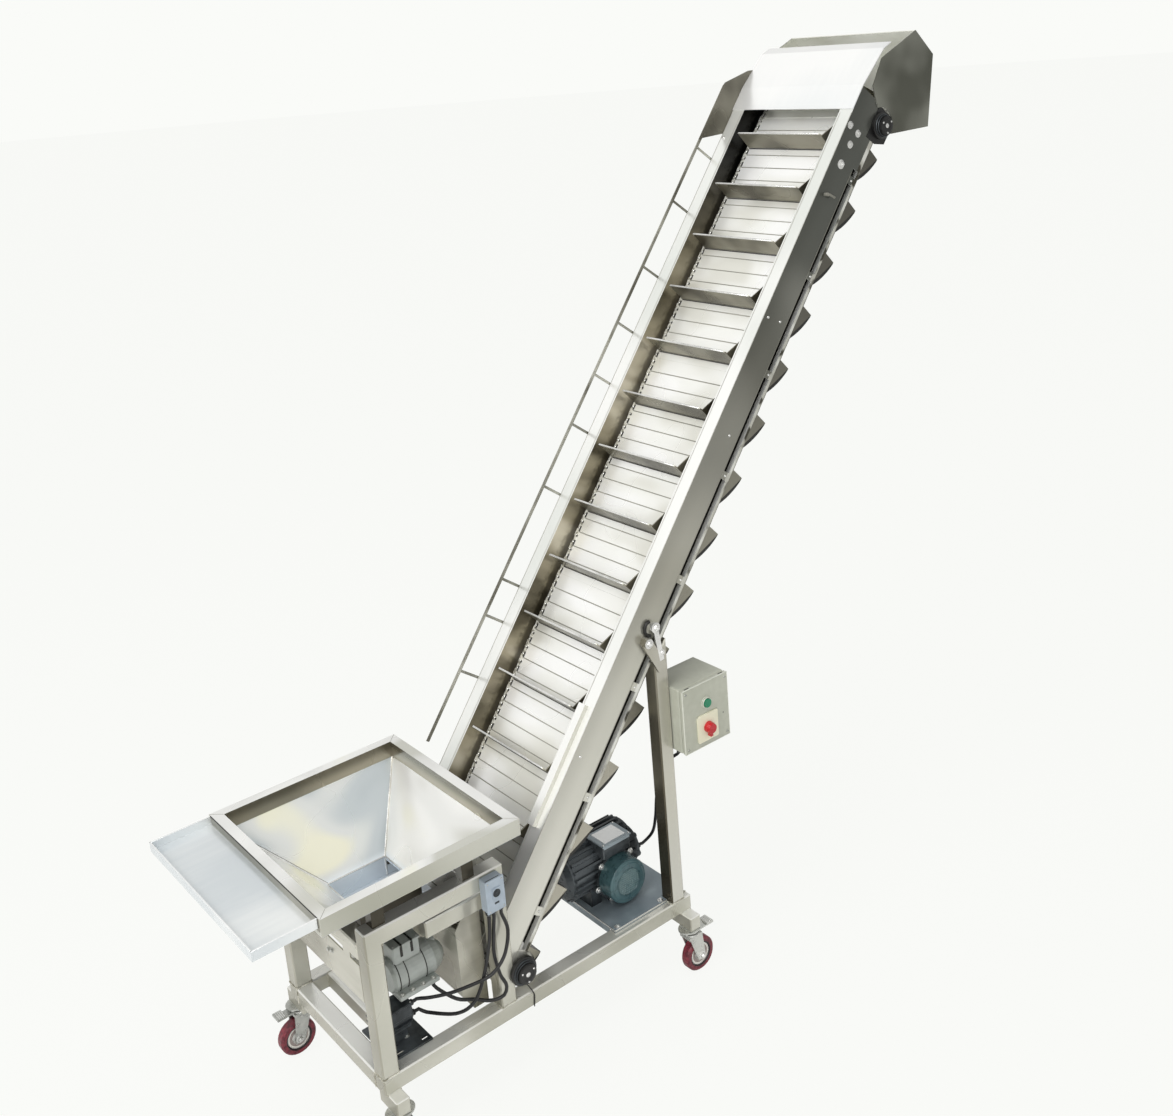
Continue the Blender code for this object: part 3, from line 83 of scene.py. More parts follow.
def at(x, y, z):
    """Point given from the tail shaft's foot on the floor."""
    return Vector((x + TAIL_X, y + TAIL_Y, z))


def slope(s, y, h):
    """Point given along, beside and across the slope."""
    return at(s * COS - h * SIN, y, TAIL_Z + s * SIN + h * COS)


def spoke(u, v, a):
    """Direction at an angle from u towards v."""
    return u * cos(a) + v * sin(a)


def shown(name, data):
    """New object of the data, put in the scene."""
    obj = bpy.data.objects.new(name, data)
    bpy.context.scene.collection.objects.link(obj)
    return obj


# Camera near the photograph's viewpoint. It has about half of the fitted camera's shift,
# because the other views keep the shift and would cut off the head with all of it.
IMAGE_W, IMAGE_H = 1173, 1116
SENSOR_MM = 36
FOCAL_PX = 1332.48
CENTRE_PX = (623.44, 381.68)
CAMERA_PLACE = (-1.83346, -2.42126, 2.27793)
AZIMUTH, ELEVATION, ROLL = map(radians, (-38.9705, 14.3969, -4.3745))
forward = -Vector((
    sin(AZIMUTH) * cos(ELEVATION),
    -cos(AZIMUTH) * cos(ELEVATION),
    sin(ELEVATION),
))
level = Vector((forward.y, -forward.x, 0)).normalized()
above = level.cross(forward)
right = spoke(level, above, ROLL)
up = above * cos(ROLL) - level * sin(ROLL)
camera_data = bpy.data.cameras.new("camera")
camera = shown("camera", camera_data)
turn = Matrix((right, up, -forward)).transposed().to_4x4()
camera.matrix_world = Matrix.Translation(CAMERA_PLACE) @ turn
camera_data.sensor_width = SENSOR_MM
camera_data.lens = FOCAL_PX / IMAGE_W * SENSOR_MM
camera_data.shift_x = (IMAGE_W / 2 - CENTRE_PX[0]) / IMAGE_W
camera_data.shift_y = (CENTRE_PX[1] - IMAGE_H / 2) / IMAGE_W
camera_data.clip_start = 0.05
bpy.context.scene.camera = camera


# Materials
BUMP_DEPTH = 0.0005


def rgb(r, g, b):
    """Linear colour from 0-255 display values."""
    shares = (c / 255 for c in (r, g, b))
    return tuple(c / 12.92 if c <= 10.3 / 255 else ((c + 0.055) / 1.055) ** 2.4 for c in shares)


def put(tree, socket, value):
    """Link an output to the socket, or set it to a number, a Vector or a 0-255 display colour."""
    if isinstance(value, bpy.types.NodeSocket):
        tree.links.new(value, socket)
    else:
        socket.default_value = (*rgb(*value), 1) if isinstance(value, tuple) else value


def node(tree, kind, *values, **settings):
    """New node with its settings and with the values put to its inputs in order; None skips one."""
    new = tree.nodes.new("ShaderNode" + kind)
    for name, setting in settings.items():
        setattr(new, name, setting)
    for socket, value in zip(new.inputs, values):
        if value is not None:
            put(tree, socket, value)
    return new


def colour_ramp(tree, source, stops, interpolation):
    """Colour ramp through (place, linear colour) stops."""
    new = node(tree, "ValToRGB", source)
    band = new.color_ramp
    band.interpolation = interpolation
    while len(band.elements) < len(stops):
        band.elements.new(0.5)
    for element, (place, colour) in zip(band.elements, stops):
        element.position = place
        element.color = (*colour, 1)
    return new.outputs[0]


class Surface:
    """A Principled material whose colour, roughness and relief come from procedural nodes."""

    def __init__(self, name, rough, metallic=0.0, coat=0.0):
        self.material = bpy.data.materials.new(name)
        self.material.use_nodes = True
        self.tree = self.material.node_tree
        self.shader = self.tree.nodes["Principled BSDF"]
        self.shader.inputs["Metallic"].default_value = metallic
        self.shader.inputs["Coat Weight"].default_value = coat
        self.rough = rough
        self.coordinates = self.tree.nodes.new("ShaderNodeTexCoord")
        self.place = self.coordinates.outputs["Object"]

    def maths(self, operation, *values):
        return node(self.tree, "Math", *values, operation=operation).outputs[0]

    above = partialmethod(maths, "GREATER_THAN")
    below = partialmethod(maths, "LESS_THAN")
    product = partialmethod(maths, "MULTIPLY")
    minus = partialmethod(maths, "SUBTRACT")
    absolute = partialmethod(maths, "ABSOLUTE")

    def length(self, a, b):
        return self.maths("SQRT", self.maths("ADD", self.product(a, a), self.product(b, b)))

    def moved(self, location=(0, 0, 0), rotation=(0, 0, 0), scale=(1, 1, 1), source=None):
        new = node(self.tree, "Mapping", source or self.place)
        for name, value in (("Location", location), ("Rotation", rotation), ("Scale", scale)):
            new.inputs[name].default_value = value
        return new.outputs[0]

    def split(self, vector):
        return node(self.tree, "SeparateXYZ", vector).outputs

    def on_slope(self):
        """The place along, beside and across the slope, from the tail shaft."""
        along = TAIL_X * COS + TAIL_Z * SIN
        across = -TAIL_X * SIN + TAIL_Z * COS
        return self.moved((-along, -TAIL_Y, -across), (0, INCLINE, 0))

    def noise(self, grain, detail=2.0, source=None, distortion=0.0):
        """Noise whose scale is one number, or one for each axis."""
        scale = grain if isinstance(grain, tuple) else (grain,) * 3
        new = node(self.tree, "TexNoise", self.moved(scale=scale, source=source))
        for name, value in (("Scale", 1.0), ("Detail", detail), ("Distortion", distortion)):
            new.inputs[name].default_value = value
        return new.outputs["Fac"]

    def ramp(self, source, *stops):
        """Colour ramp through (place, r, g, b) stops in display values."""
        linear = [(place, rgb(*colour)) for place, *colour in stops]
        return colour_ramp(self.tree, source, linear, "EASE")

    def tones(self, source, dark, light, edge=0.36):
        """Dark below the edge, light as far from the other end."""
        return self.ramp(source, (edge, *dark), (1 - edge, *light))

    def between(self, source, low, high, to_low=0.0, to_high=1.0):
        return node(self.tree, "MapRange", source, low, high, to_low, to_high,
            interpolation_type="SMOOTHSTEP").outputs[0]

    def mixed(self, factor, a, b):
        return node(self.tree, "Mix", factor, *(None,) * 5, a, b, data_type="RGBA").outputs[2]

    def fade(self, value, low, high, a, b, most=1.0):
        """Colour a below low and b, as far as most allows, above high."""
        return self.mixed(self.between(value, low, high, 0.0, most), a, b)

    def step(self, value, edge, a, b):
        """Colour a up to the edge, b above it."""
        return self.mixed(self.above(value, edge), a, b)

    def facing(self, axis):
        """How squarely the surface faces along an axis of the frame, either way."""
        return self.absolute(self.split(self.coordinates.outputs["Normal"])[axis])

    def finish(self, colour, fine, spread, bump=0.0):
        """Put the colour, and roughness and relief that follow the fine noise."""
        put(self.tree, self.shader.inputs["Base Color"], colour)
        rough = self.between(fine, 0.3, 0.7, self.rough * (1 - spread), self.rough * (1 + spread))
        put(self.tree, self.shader.inputs["Roughness"], rough)
        if bump:
            relief = node(self.tree, "Bump")
            for name, value in (("Strength", bump), ("Distance", BUMP_DEPTH), ("Height", fine)):
                put(self.tree, relief.inputs[name], value)
            put(self.tree, self.shader.inputs["Normal"], relief.outputs[0])
        return self.material

    def sheet(self, colour):
        """Finish as sheet metal, with slow changes in how rough it is."""
        return self.finish(colour, self.noise(5, 1.0), 0.12)


def two_tone(name, dark, light, rough, metallic=0.0, grain=60, blotch=3.0, bump=0.05, coat=0.0):
    """Broad blotches and a fine grain between two tones."""
    made = Surface(name, rough, metallic, coat)
    fine = made.noise(grain)
    broad = made.noise(blotch)
    level = made.maths("MULTIPLY_ADD", fine, 0.25, made.product(broad, 0.75))
    return made.finish(made.tones(level, dark, light), fine, 0.15, bump)


def brushed(name, dark, light, rough, grain):
    """Stainless steel: slow changes of tone, with faint lines one way."""
    made = Surface(name, rough, 0.6)
    lines = made.noise(grain)
    level = made.maths("MULTIPLY_ADD", lines, 0.12, made.product(made.noise(2.4), 0.88))
    return made.sheet(made.tones(level, dark, light, 0.38))


def tube_steel():
    """Square tube, with painted light and shade by which way each face points: pale faces on top, greyer
    sides and browner ends of view.
    """
    made = Surface("tube_steel", 0.27, 0.55)
    slow = made.noise(3)
    # painted light on the faces that point up, painted shade on the sides, darkest on the faces that
    # point along the frame
    painted_lit_top = made.tones(slow, (222, 221, 212), (244, 244, 240), 0.38)
    painted_shade_side = made.tones(slow, (182, 181, 168), (214, 213, 202))
    painted_deep_shade_side = made.tones(slow, (140, 137, 122), (190, 188, 176))
    colour = made.step(made.facing(0), 0.7, painted_shade_side, painted_deep_shade_side)
    colour = made.step(made.facing(2), 0.7, colour, painted_lit_top)
    return made.sheet(colour)


def leg_steel():
    """Upright legs: mid grey on the outside, with painted shade, dark brown, on the narrow sides."""
    made = Surface("leg_steel", 0.25, 0.6)
    z = made.split(made.place)[2]
    slow = made.noise((8, 8, 1.5))
    high = made.between(z, 0.2, 0.9)
    outside = made.ramp(high, (0.0, 208, 207, 198), (0.45, 206, 204, 192), (1.0, 184, 181, 168))
    outside = made.fade(slow, 0.4, 0.7, outside, (226, 225, 218), 0.25)
    # painted shade: the narrow sides, which face along the frame, dark brown and lighter higher up
    narrow = made.ramp(high, (0.0, 74, 69, 56), (0.6, 96, 91, 76), (1.0, 132, 128, 114))
    return made.sheet(made.step(made.facing(0), 0.6, outside, narrow))


def slat_steel():
    """Slats near white; flights brown-grey with a painted highlight along the tip; painted shade on the
    return side.
    """
    made = Surface("slat_steel", 0.28, 0.5)
    s, y, h = made.split(made.on_slope())
    over = made.maths("MAXIMUM", made.maths("MAXIMUM", made.product(s, -1.0), made.minus(s, SPAN)), 0.0)
    reach = made.length(over, h)
    rise = made.minus(reach, WRAP + SLAT_HALF)
    broad = made.noise((9, 4, 9), 1.0)
    slat = made.ramp(broad, (0.34, 229, 228, 220), (0.5, 248, 248, 244), (0.64, 255, 255, 254))
    mottled = made.noise(6)
    flight = made.tones(mottled, (80, 76, 64), (150, 146, 130), 0.35)
    # painted highlight: a near-white band along each flight's tip
    edge = made.between(rise, 0.0565, 0.0585)
    flight = made.mixed(edge, flight, (226, 225, 214))
    colour = made.fade(rise, 0.0015, 0.004, slat, flight)
    speckle = made.noise(150, 1.0)
    strip = made.ramp(speckle, (0.38, 150, 148, 138), (0.5, 216, 215, 206), (0.62, 238, 238, 231))
    wide = made.above(made.absolute(y), 0.1463)
    colour = made.mixed(wide, colour, strip)
    high = made.between(s, 0.0, 2.2)
    # painted shade on the return side, below the carrying run: end plates darker towards the head,
    # blades near black
    painted_end_plate_shade = made.ramp(high, (0.0, 186, 182, 168), (0.4, 150, 147, 134), (1.0, 96, 94, 86))
    painted_blade_shade = made.tones(mottled, (20, 20, 18), (46, 45, 40), 0.35)
    under = made.step(made.facing(1), 0.6, painted_blade_shade, painted_end_plate_shade)
    return made.sheet(made.fade(h, -0.004, -0.012, colour, under))


def beam_steel():
    """Web with painted shade, darker towards the head and under the flange; pale flange on top; brown
    mottled inner wall with painted shade near black at the head; bright return rail.
    """
    made = Surface("beam_steel", 0.24, 0.6)
    s, y, h = made.split(made.on_slope())
    slow = made.noise(2.5, 1.0, made.on_slope())
    high = made.between(s, -0.1, 2.25)
    # painted shade: the web darkens towards the head
    web = made.ramp(high, (0.0, 224, 223, 214), (0.22, 204, 203, 192), (0.42, 170, 168, 156),
        (0.62, 116, 115, 106), (1.0, 92, 94, 89))
    # painted shade: the web darker under the flange's overhang
    web = made.fade(h, 0.055, 0.108, web, (60, 60, 54), 0.22)
    web = made.fade(slow, 0.45, 0.7, web, (214, 213, 204), 0.25)
    patches = made.noise(14, 2.0, made.on_slope())
    bar = made.ramp(patches, (0.4, 70, 68, 58), (0.47, 196, 195, 186), (0.66, 232, 232, 226))
    web = made.mixed(made.below(h, RETURN_BAR_TOP), web, bar)
    wavy = made.noise((9, 1, 3), 1.5, made.on_slope(), 0.6)
    wall = made.ramp(wavy, (0.34, 84, 78, 62), (0.52, 146, 138, 117), (0.7, 196, 189, 170))
    # painted shade: the inner wall goes near black towards the head
    wall = made.fade(s, 1.6, 2.05, wall, (20, 20, 17))
    flange = made.tones(slow, (232, 234, 230), (252, 252, 250), 0.34)
    inside = made.below(made.absolute(y), 0.1705)
    side = made.mixed(inside, web, wall)
    flat = made.above(made.facing(1), 0.6)
    return made.sheet(made.mixed(flat, flange, side))


def hopper_steel():
    """Pale sloping walls, painted bluish shade on the far one, painted pale bluish light in the throat,
    a brown band inside the rim, painted shade on the outer faces and darker still underneath.
    """
    made = Surface("hopper_steel", 0.26, 0.5)
    x, y, z = made.split(made.place)
    nx, ny, nz = made.split(made.coordinates.outputs["Normal"])
    streaks = made.noise((4, 4, 7), 1.0, None, 0.5)
    wall = made.ramp(streaks, (0.34, 208, 208, 200), (0.46, 234, 234, 232),
        (0.58, 244, 244, 242), (0.68, 246, 245, 230))
    # painted shade: the far wall's inner face, which faces the front, darker and bluish
    bluish = made.ramp(streaks, (0.34, 166, 174, 178), (0.48, 196, 203, 206),
        (0.6, 222, 224, 222), (0.7, 238, 236, 216))
    wall = made.fade(ny, -0.3, -0.5, wall, bluish)
    # painted light: the throat, deep in shade, painted pale bluish
    throat = made.tones(streaks, (214, 222, 230), (238, 244, 248), 0.35)
    colour = made.fade(z, 0.512, 0.498, wall, throat)
    upright = made.below(made.facing(2), 0.25)
    rim = made.product(made.above(z, 0.6345), upright)
    from_middle_x = made.absolute(made.minus(x, (-0.47 + 0.006) / 2 + TAIL_X))
    from_middle_y = made.absolute(made.minus(y, TAIL_Y))
    inner = made.product(made.below(from_middle_x, 0.226), made.below(from_middle_y, 0.2505))
    # painted shade: the rim's outer face darker
    painted_shade_outer_face = made.tones(made.noise(3, 1.0), (166, 166, 152), (204, 204, 194))
    colour = made.mixed(made.product(rim, made.minus(1.0, inner)), colour, painted_shade_outer_face)
    band = made.ramp(made.between(z, 0.634, 0.674), (0.0, 150, 144, 126), (1.0, 96, 91, 76))
    colour = made.mixed(made.product(rim, inner), colour, band)
    off_x = made.minus(x, -0.226 + TAIL_X)
    off_y = made.minus(y, TAIL_Y)
    outward = made.maths("MULTIPLY_ADD", off_x, nx, made.product(off_y, ny))
    # painted shade: the faces that point outward below the rim
    outside = made.product(made.above(outward, 0.0), made.below(z, 0.634))
    colour = made.mixed(outside, colour, (66, 62, 50))
    # painted shade: faces that point down darkest
    return made.sheet(made.fade(nz, -0.15, -0.35, colour, (44, 41, 33)))


def chute_steel():
    """Discharge chute: dark grey outside, pale inside."""
    made = Surface("chute_steel", 0.24, 0.6)
    y = made.split(made.on_slope())[1]
    slow = made.noise(5)
    outside = made.tones(slow, (92, 93, 84), (142, 143, 134))
    within = made.tones(slow, (226, 227, 216), (244, 244, 238))
    return made.sheet(made.mixed(made.below(made.absolute(y), 0.2127), outside, within))


def guard_steel():
    """Far guard: mid grey rail and rungs, dark brown-grey plate at the head."""
    made = Surface("guard_steel", 0.26, 0.55)
    s = made.split(made.on_slope())[0]
    slow = made.noise(7)
    rail = made.tones(slow, (112, 110, 100), (176, 175, 165))
    plate = made.tones(slow, (88, 85, 75), (124, 121, 109))
    return made.sheet(made.fade(s, SPAN - 0.151, SPAN - 0.149, rail, plate))


def wheel_rubber(name, axle_x):
    """Maroon tread, dark groove, pale ring and steel hub by distance from the axle."""
    made = Surface(name, 0.36)
    x, y, z = made.split(made.moved((-axle_x, 0, -0.045)))
    r = made.length(x, z)
    fine = made.noise(90, 3.0)
    tread = made.tones(fine, (92, 30, 42), (128, 46, 58), 0.35)
    hub = made.tones(fine, (168, 168, 164), (206, 206, 202), 0.35)
    ring = made.step(r, 0.0165, hub, (150, 138, 134))
    ring = made.step(r, 0.0235, ring, (226, 222, 214))
    ring = made.step(r, 0.0285, ring, (44, 26, 30))
    return made.finish(made.step(r, 0.0325, ring, tread), fine, 0.2, 0.15)


M = {
    "tube": tube_steel(),
    "leg": leg_steel(),
    "beam": beam_steel(),
    "sheet": brushed("sheet_steel", (150, 147, 132), (212, 210, 198), 0.26, (8, 8, 40)),
    "chute": chute_steel(),
    "pale": brushed("pale_steel", (244, 246, 247), (254, 254, 254), 0.24, (12, 60, 12)),
    "hopper": hopper_steel(),
    "tray": brushed("tray_steel", (218, 224, 228), (246, 248, 248), 0.24, (6, 50, 6)),
    "chain": slat_steel(),
    "bright": two_tone("bright_steel", (206, 206, 204), (242, 242, 240), 0.22, 0.8, 60, 8.0),
    "shaft": two_tone("shaft_steel", (170, 170, 168), (214, 214, 210), 0.22, 0.9),
    "zinc": two_tone("zinc", (170, 172, 168), (214, 215, 210), 0.3, 0.75, bump=0.2),
    "bearing": two_tone("black_casting", (16, 16, 16), (38, 38, 37), 0.38, 0.0, bump=0.3),
    "plate": two_tone("grey_plate", (132, 144, 152), (168, 180, 187), 0.34, 0.3, 30, 5.0, bump=0.05),
    "casting": two_tone("dark_casting", (34, 38, 41), (92, 98, 102), 0.32, 0.35, 50, 8.0, bump=0.3),
    "teal": two_tone("teal_paint", (60, 89, 95), (88, 122, 126), 0.3, 0.1, bump=0.15, coat=0.3),
    # a paler copy of the teal paint, used for painted highlight on the grille wires
    "teal_highlight": two_tone("teal_highlight", (122, 152, 156), (158, 182, 184), 0.3, 0.1, coat=0.3),
    "grey": two_tone("grey_paint", (136, 143, 138), (176, 181, 177), 0.36, 0.2, bump=0.1),
    "box": two_tone("box_paint", (176, 178, 164), (192, 194, 181), 0.36, 0.05, bump=0.03),
    # a paler copy of the box paint, used for painted highlights
    "box_highlight": two_tone("box_highlight", (206, 208, 196), (222, 224, 214), 0.34, 0.05, bump=0.06),
    "switch": two_tone("switch_plastic", (158, 170, 182), (178, 190, 202), 0.36),
    "green": two_tone("green_plastic", (0, 112, 78), (10, 138, 98), 0.28, coat=0.3),
    "red": two_tone("red_plastic", (178, 14, 26), (206, 24, 36), 0.28, coat=0.3),
    "cream": two_tone("cream_plate", (226, 223, 198), (238, 236, 214), 0.36),
    "front_tread": wheel_rubber("front_tread", -0.82863),
    "rear_tread": wheel_rubber("rear_tread", 0.04387),
    "cable": two_tone("cable_rubber", (14, 14, 15), (34, 34, 35), 0.42, 0.0, 200, 20, bump=0.2),
    "dark": two_tone("dark_gap", (24, 24, 22), (46, 45, 41), 0.5, 0.0),
    "seam": two_tone("seam_line", (128, 127, 118), (160, 158, 148), 0.45, 0.3),
    "weld": two_tone("weld_bead", (150, 146, 130), (226, 224, 212), 0.34, 0.7, 260, 60, bump=0.4),
    "guard": guard_steel(),
}

# Nodes whose look isn't that of their slot
OWN_LOOKS = {"side_tray": "tray", "head_hood": "pale", "guard_rail": "guard",
    "leg_near": "leg", "leg_far": "leg"}
for row in frame["record"]["subparts"]:
    name, look = row["node"], row["material_slot"]
    if look == "tread":
        look = "front_tread" if "front" in name else "rear_tread"
    mesh = NODES[name].data
    mesh.materials.clear()
    mesh.materials.append(M[OWN_LOOKS.get(name, look)])


# Pieces
SMOOTH_ANGLE = radians(35)
UX, UY, UZ = Vector((1, 0, 0)), Vector((0, 1, 0)), Vector((0, 0, 1))
NEAR, FAR = -UY, UY
US, UH = Vector((COS, 0, SIN)), Vector((-SIN, 0, COS))
LEVEL = (at(0, 0, 0), UX, UY, UZ)
INCLINED = (slope(0, 0, 0), US, UY, UH)


def square_to(axis):
    """Unit axis, with two directions square to it and to each other."""
    axis = Vector(axis).normalized()
    side = axis.orthogonal().normalized()
    return axis, side, axis.cross(side)


class Shape:
    """Gathers solids, in the frame's metres, into one piece."""
    pieces = []

    def __init__(self, name, look, slot, body="frame"):
        self.name, self.look, self.slot, self.body = name, look, slot, body
        self.bm = bmesh.new()
        self.pieces.append(self)

    def rings(self, rings):
        """Skin over rings of points, with both ends closed."""
        made = [[self.bm.verts.new(p) for p in ring] for ring in rings]
        self.bm.faces.new(made[0])
        self.bm.faces.new(list(reversed(made[-1])))
        self.skin(zip(made, made[1:]))

    def skin(self, pairs):
        """Faces between pairs of rings."""
        for a, b in pairs:
            for i in range(len(a)):
                k = (i + 1) % len(a)
                self.bm.faces.new((a[i], b[i], b[k], a[k]))

    def prism(self, outline, through):
        self.rings([outline, [p + through for p in outline]])

    def block(self, low, high, bevel=0.0, axes=LEVEL):
        """Box between two corners, with its sharp edges taken off."""
        origin, u, v, w = axes
        b = bevel
        levels = ((low[2], 0), (high[2], 0))
        if b:
            levels = ((low[2], b), (low[2] + b, 0), (high[2] - b, 0), (high[2], b))
        rings = []
        for z, inset in levels:
            x0, x1, y0, y1 = low[0] + inset, high[0] - inset, low[1] + inset, high[1] - inset
            corners = ((x0, y0), (x1, y0), (x1, y1), (x0, y1))
            if b:
                corners = ((x0 + b, y0), (x1 - b, y0), (x1, y0 + b), (x1, y1 - b),
                    (x1 - b, y1), (x0 + b, y1), (x0, y1 - b), (x0, y0 + b))
            rings.append([origin + u * x + v * y + w * z for x, y in corners])
        self.rings(rings)

    def block_at_side(self, side, low, high, *rest):
        """Box whose second coordinate is taken times side, -1 or 1."""
        near, far = sorted((side * low[1], side * high[1]))
        self.block((low[0], near, low[2]), (high[0], far, high[2]), *rest)

    def turned(self, profile, centre, axis, steps=24):
        """Solid of revolution from (radius, distance along the axis) pairs."""
        axis, side, other = square_to(axis)
        turns = [tau * i / steps for i in range(steps)]
        self.rings([[centre + axis * along + spoke(side, other, a) * radius for a in turns]
            for radius, along in profile])

    def rod(self, a, b, radius, steps=16):
        self.turned(((radius, 0), (radius, (b - a).length)), a, b - a, steps)

    def ring(self, centre, axis, radius, thick, steps=36, sides=8):
        """Torus of round section."""
        axis, side, other = square_to(axis)
        loops = []
        for i in range(steps):
            out = spoke(side, other, tau * i / steps)
            loop = []
            for k in range(sides):
                b = tau * k / sides
                place = centre + out * (radius + thick * cos(b)) + axis * thick * sin(b)
                loop.append(self.bm.verts.new(place))
            loops.append(loop)
        self.skin(zip(loops, loops[1:] + loops[:1]))

    def bolt(self, seat, axis, across=0.01, washer=True, stud=0.0):
        """Hexagon head with chamfered top, on a washer, with an optional stud end."""
        r = across / sqrt(3)
        lift = across * 0.12 if washer else 0.0
        if washer:
            wide = across * 0.98
            self.turned(((wide, -0.0003), (wide, lift * 0.7), (across * 0.92, lift)), seat, axis)
        top = lift + across * 0.52
        self.turned(((r, lift - 0.0002), (r, top - across * 0.08), (r * 0.84, top)), seat, axis, 6)
        if stud:
            end = across * 0.3
            self.turned(((end, top - 0.0005), (end, top + stud - 0.0008), (across * 0.22, top + stud)),
                seat, axis, 14)

    def screw(self, seat, axis, radius=0.0035):
        """Low round head."""
        profile = ((1, None), (1, 0.25), (0.8, 0.55), (0.4, 0.68))
        self.turned([(radius * r, -0.0002 if along is None else radius * along)
            for r, along in profile], seat, axis, 16)

    def tube(self, points, radius, steps=10):
        """Round bar that follows points."""
        turns = [tau * k / steps for k in range(steps)]
        side = None
        rings = []
        for i, p in enumerate(points):
            ahead = points[min(i + 1, len(points) - 1)] - points[max(i - 1, 0)]
            ahead.normalize()
            side = ahead.orthogonal() if side is None else side - ahead * side.dot(ahead)
            side.normalize()
            other = ahead.cross(side)
            rings.append([p + spoke(side, other, a) * radius for a in turns])
        self.rings(rings)

    def bead(self, a, b, radius):
        """Weld bead: overlapping round lumps along a line."""
        count = max(2, int((b - a).length / (radius * 0.9)))
        for i in range(count + 1):
            bmesh.ops.create_icosphere(
                self.bm, subdivisions=1, radius=radius * DRAW.uniform(0.85, 1.1),
                matrix=Matrix.Translation(a.lerp(b, i / count)))

    def build(self):
        """Make the piece, riding its body."""
        bmesh.ops.recalc_face_normals(self.bm, faces=self.bm.faces)
        mesh = bpy.data.meshes.new(self.name)
        self.bm.to_mesh(mesh)
        self.bm.free()
        mesh.materials.append(M[self.look])
        obj = shown(self.name, mesh)
        mesh.shade_smooth()
        mesh.set_sharp_from_angle(angle=SMOOTH_ANGLE)
        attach(obj, self.body)


# Cables: the same routes as the solids they stand for
CABLE_RADIUS = 0.004
GAP = 0.0003
GLAND_LENGTH = 0.01
DOWN = Vector((0, 0, -1))
AFT = Vector((1, 0, 0))


def smooth_route(points, spacing):
    """Evenly spaced points on a Catmull-Rom curve, with both ends square to their glands."""
    points = [Vector(p) for p in points]
    ends = [points[0] * 2 - points[1]] + points + [points[-1] * 2 - points[-2]]
    fine = []
    for p0, p1, p2, p3 in zip(ends, ends[1:], ends[2:], ends[3:]):
        for i in range(24):
            t = i / 24
            fine.append(0.5 * (2 * p1 + (p2 - p0) * t + (2 * p0 - 5 * p1 + 4 * p2 - p3) * t * t
                + (3 * p1 - p0 - 3 * p2 + p3) * t * t * t))
    fine.append(points[-1])
    length = sum((b - a).length for a, b in zip(fine, fine[1:]))
    count = round(length / spacing)
    step = length / count
    even, run = [fine[0]], 0.0
    for a, b in zip(fine, fine[1:]):
        span = (b - a).length
        while run + span >= step * len(even) and len(even) < count:
            even.append(a.lerp(b, (step * len(even) - run) / span))
        run += span
    even.append(fine[-1])
    even.insert(1, points[0] + (points[1] - points[0]).normalized() * 0.005)
    even.insert(-1, points[-1] + (points[-2] - points[-1]).normalized() * 0.005)
    return even


def cable(name, start, route, end, way, straight=0.012):
    """Cord from a gland that points down, along a route and straight into a second gland."""
    first, last = start + DOWN * GAP, end + way * GAP
    route = (first, first + DOWN * 0.012, *route, last + way * straight, last)
    points = [at(*p) for p in smooth_route(route, CABLE_RADIUS * 2.5)]
    curve = bpy.data.curves.new("lead_" + name, "CURVE")
    curve.dimensions = "3D"
    curve.bevel_depth = CABLE_RADIUS
    curve.bevel_resolution = 4
    curve.use_fill_caps = True
    spline = curve.splines.new("POLY")
    spline.points.add(len(points) - 1)
    for point, place in zip(spline.points, points):
        point.co = (*place, 1)
    curve.materials.append(M["cable"])
    obj = shown("lead_" + name, curve)
    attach(obj, "frame")
    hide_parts("cable_" + name)


STAND_TOP = 0.556
SWITCH_BOTTOM = STAND_TOP - 0.083
SWITCH_GLANDS = [Vector((x, -FRAME_Y - 0.014, SWITCH_BOTTOM - GLAND_LENGTH))
    for x in (-0.0785, -0.0655, -0.046)]
LOW_GLAND = Vector((-0.228, -0.125, 0.242))
LOW_BOX_GLAND = Vector((-0.24, -0.145, 0.286))
VIBRATOR_GLAND = Vector((-0.179, -0.135, 0.298))
BOX_X, BOX_FRONT, BOX_Z = (0.4913, 0.6393), -FRAME_Y - 0.043, (0.613, 0.78)
BOX_GLAND = Vector((BOX_X[0] + 0.024, BOX_FRONT + 0.055, BOX_Z[0] - GLAND_LENGTH))
MOTOR_GLAND = Vector((0.4835, -0.064, 0.2865))
cable("low_motor", SWITCH_GLANDS[0], (
    (-0.084, -0.233, 0.402), (-0.104, -0.23, 0.326), (-0.131, -0.223, 0.268),
    (-0.162, -0.194, 0.238), (-0.203, -0.138, 0.232)), LOW_GLAND, AFT, 0.01)
cable("vibrator", SWITCH_GLANDS[1], (
    (-0.075, -0.232, 0.371), (-0.066, -0.232, 0.306), (-0.053, -0.233, 0.27), (-0.062, -0.231, 0.247),
    (-0.088, -0.218, 0.242), (-0.118, -0.2, 0.252), (-0.149, -0.184, 0.261),
    (-0.167, -0.156, 0.272)), VIBRATOR_GLAND, DOWN)
cable("feeder", SWITCH_GLANDS[2], (
    (-0.036, -0.236, 0.406), (-0.052, -0.243, 0.362), (-0.076, -0.246, 0.338), (-0.103, -0.242, 0.324),
    (-0.139, -0.219, 0.309), (-0.174, -0.19, 0.294), (-0.208, -0.162, 0.287)), LOW_BOX_GLAND, AFT)
cable("motor", BOX_GLAND, (
    (0.507, -0.175, 0.56), (0.497, -0.152, 0.51), (0.497, -0.132, 0.45),
    (0.508, -0.108, 0.377), (0.517, -0.08, 0.315)), MOTOR_GLAND, AFT, 0.014)

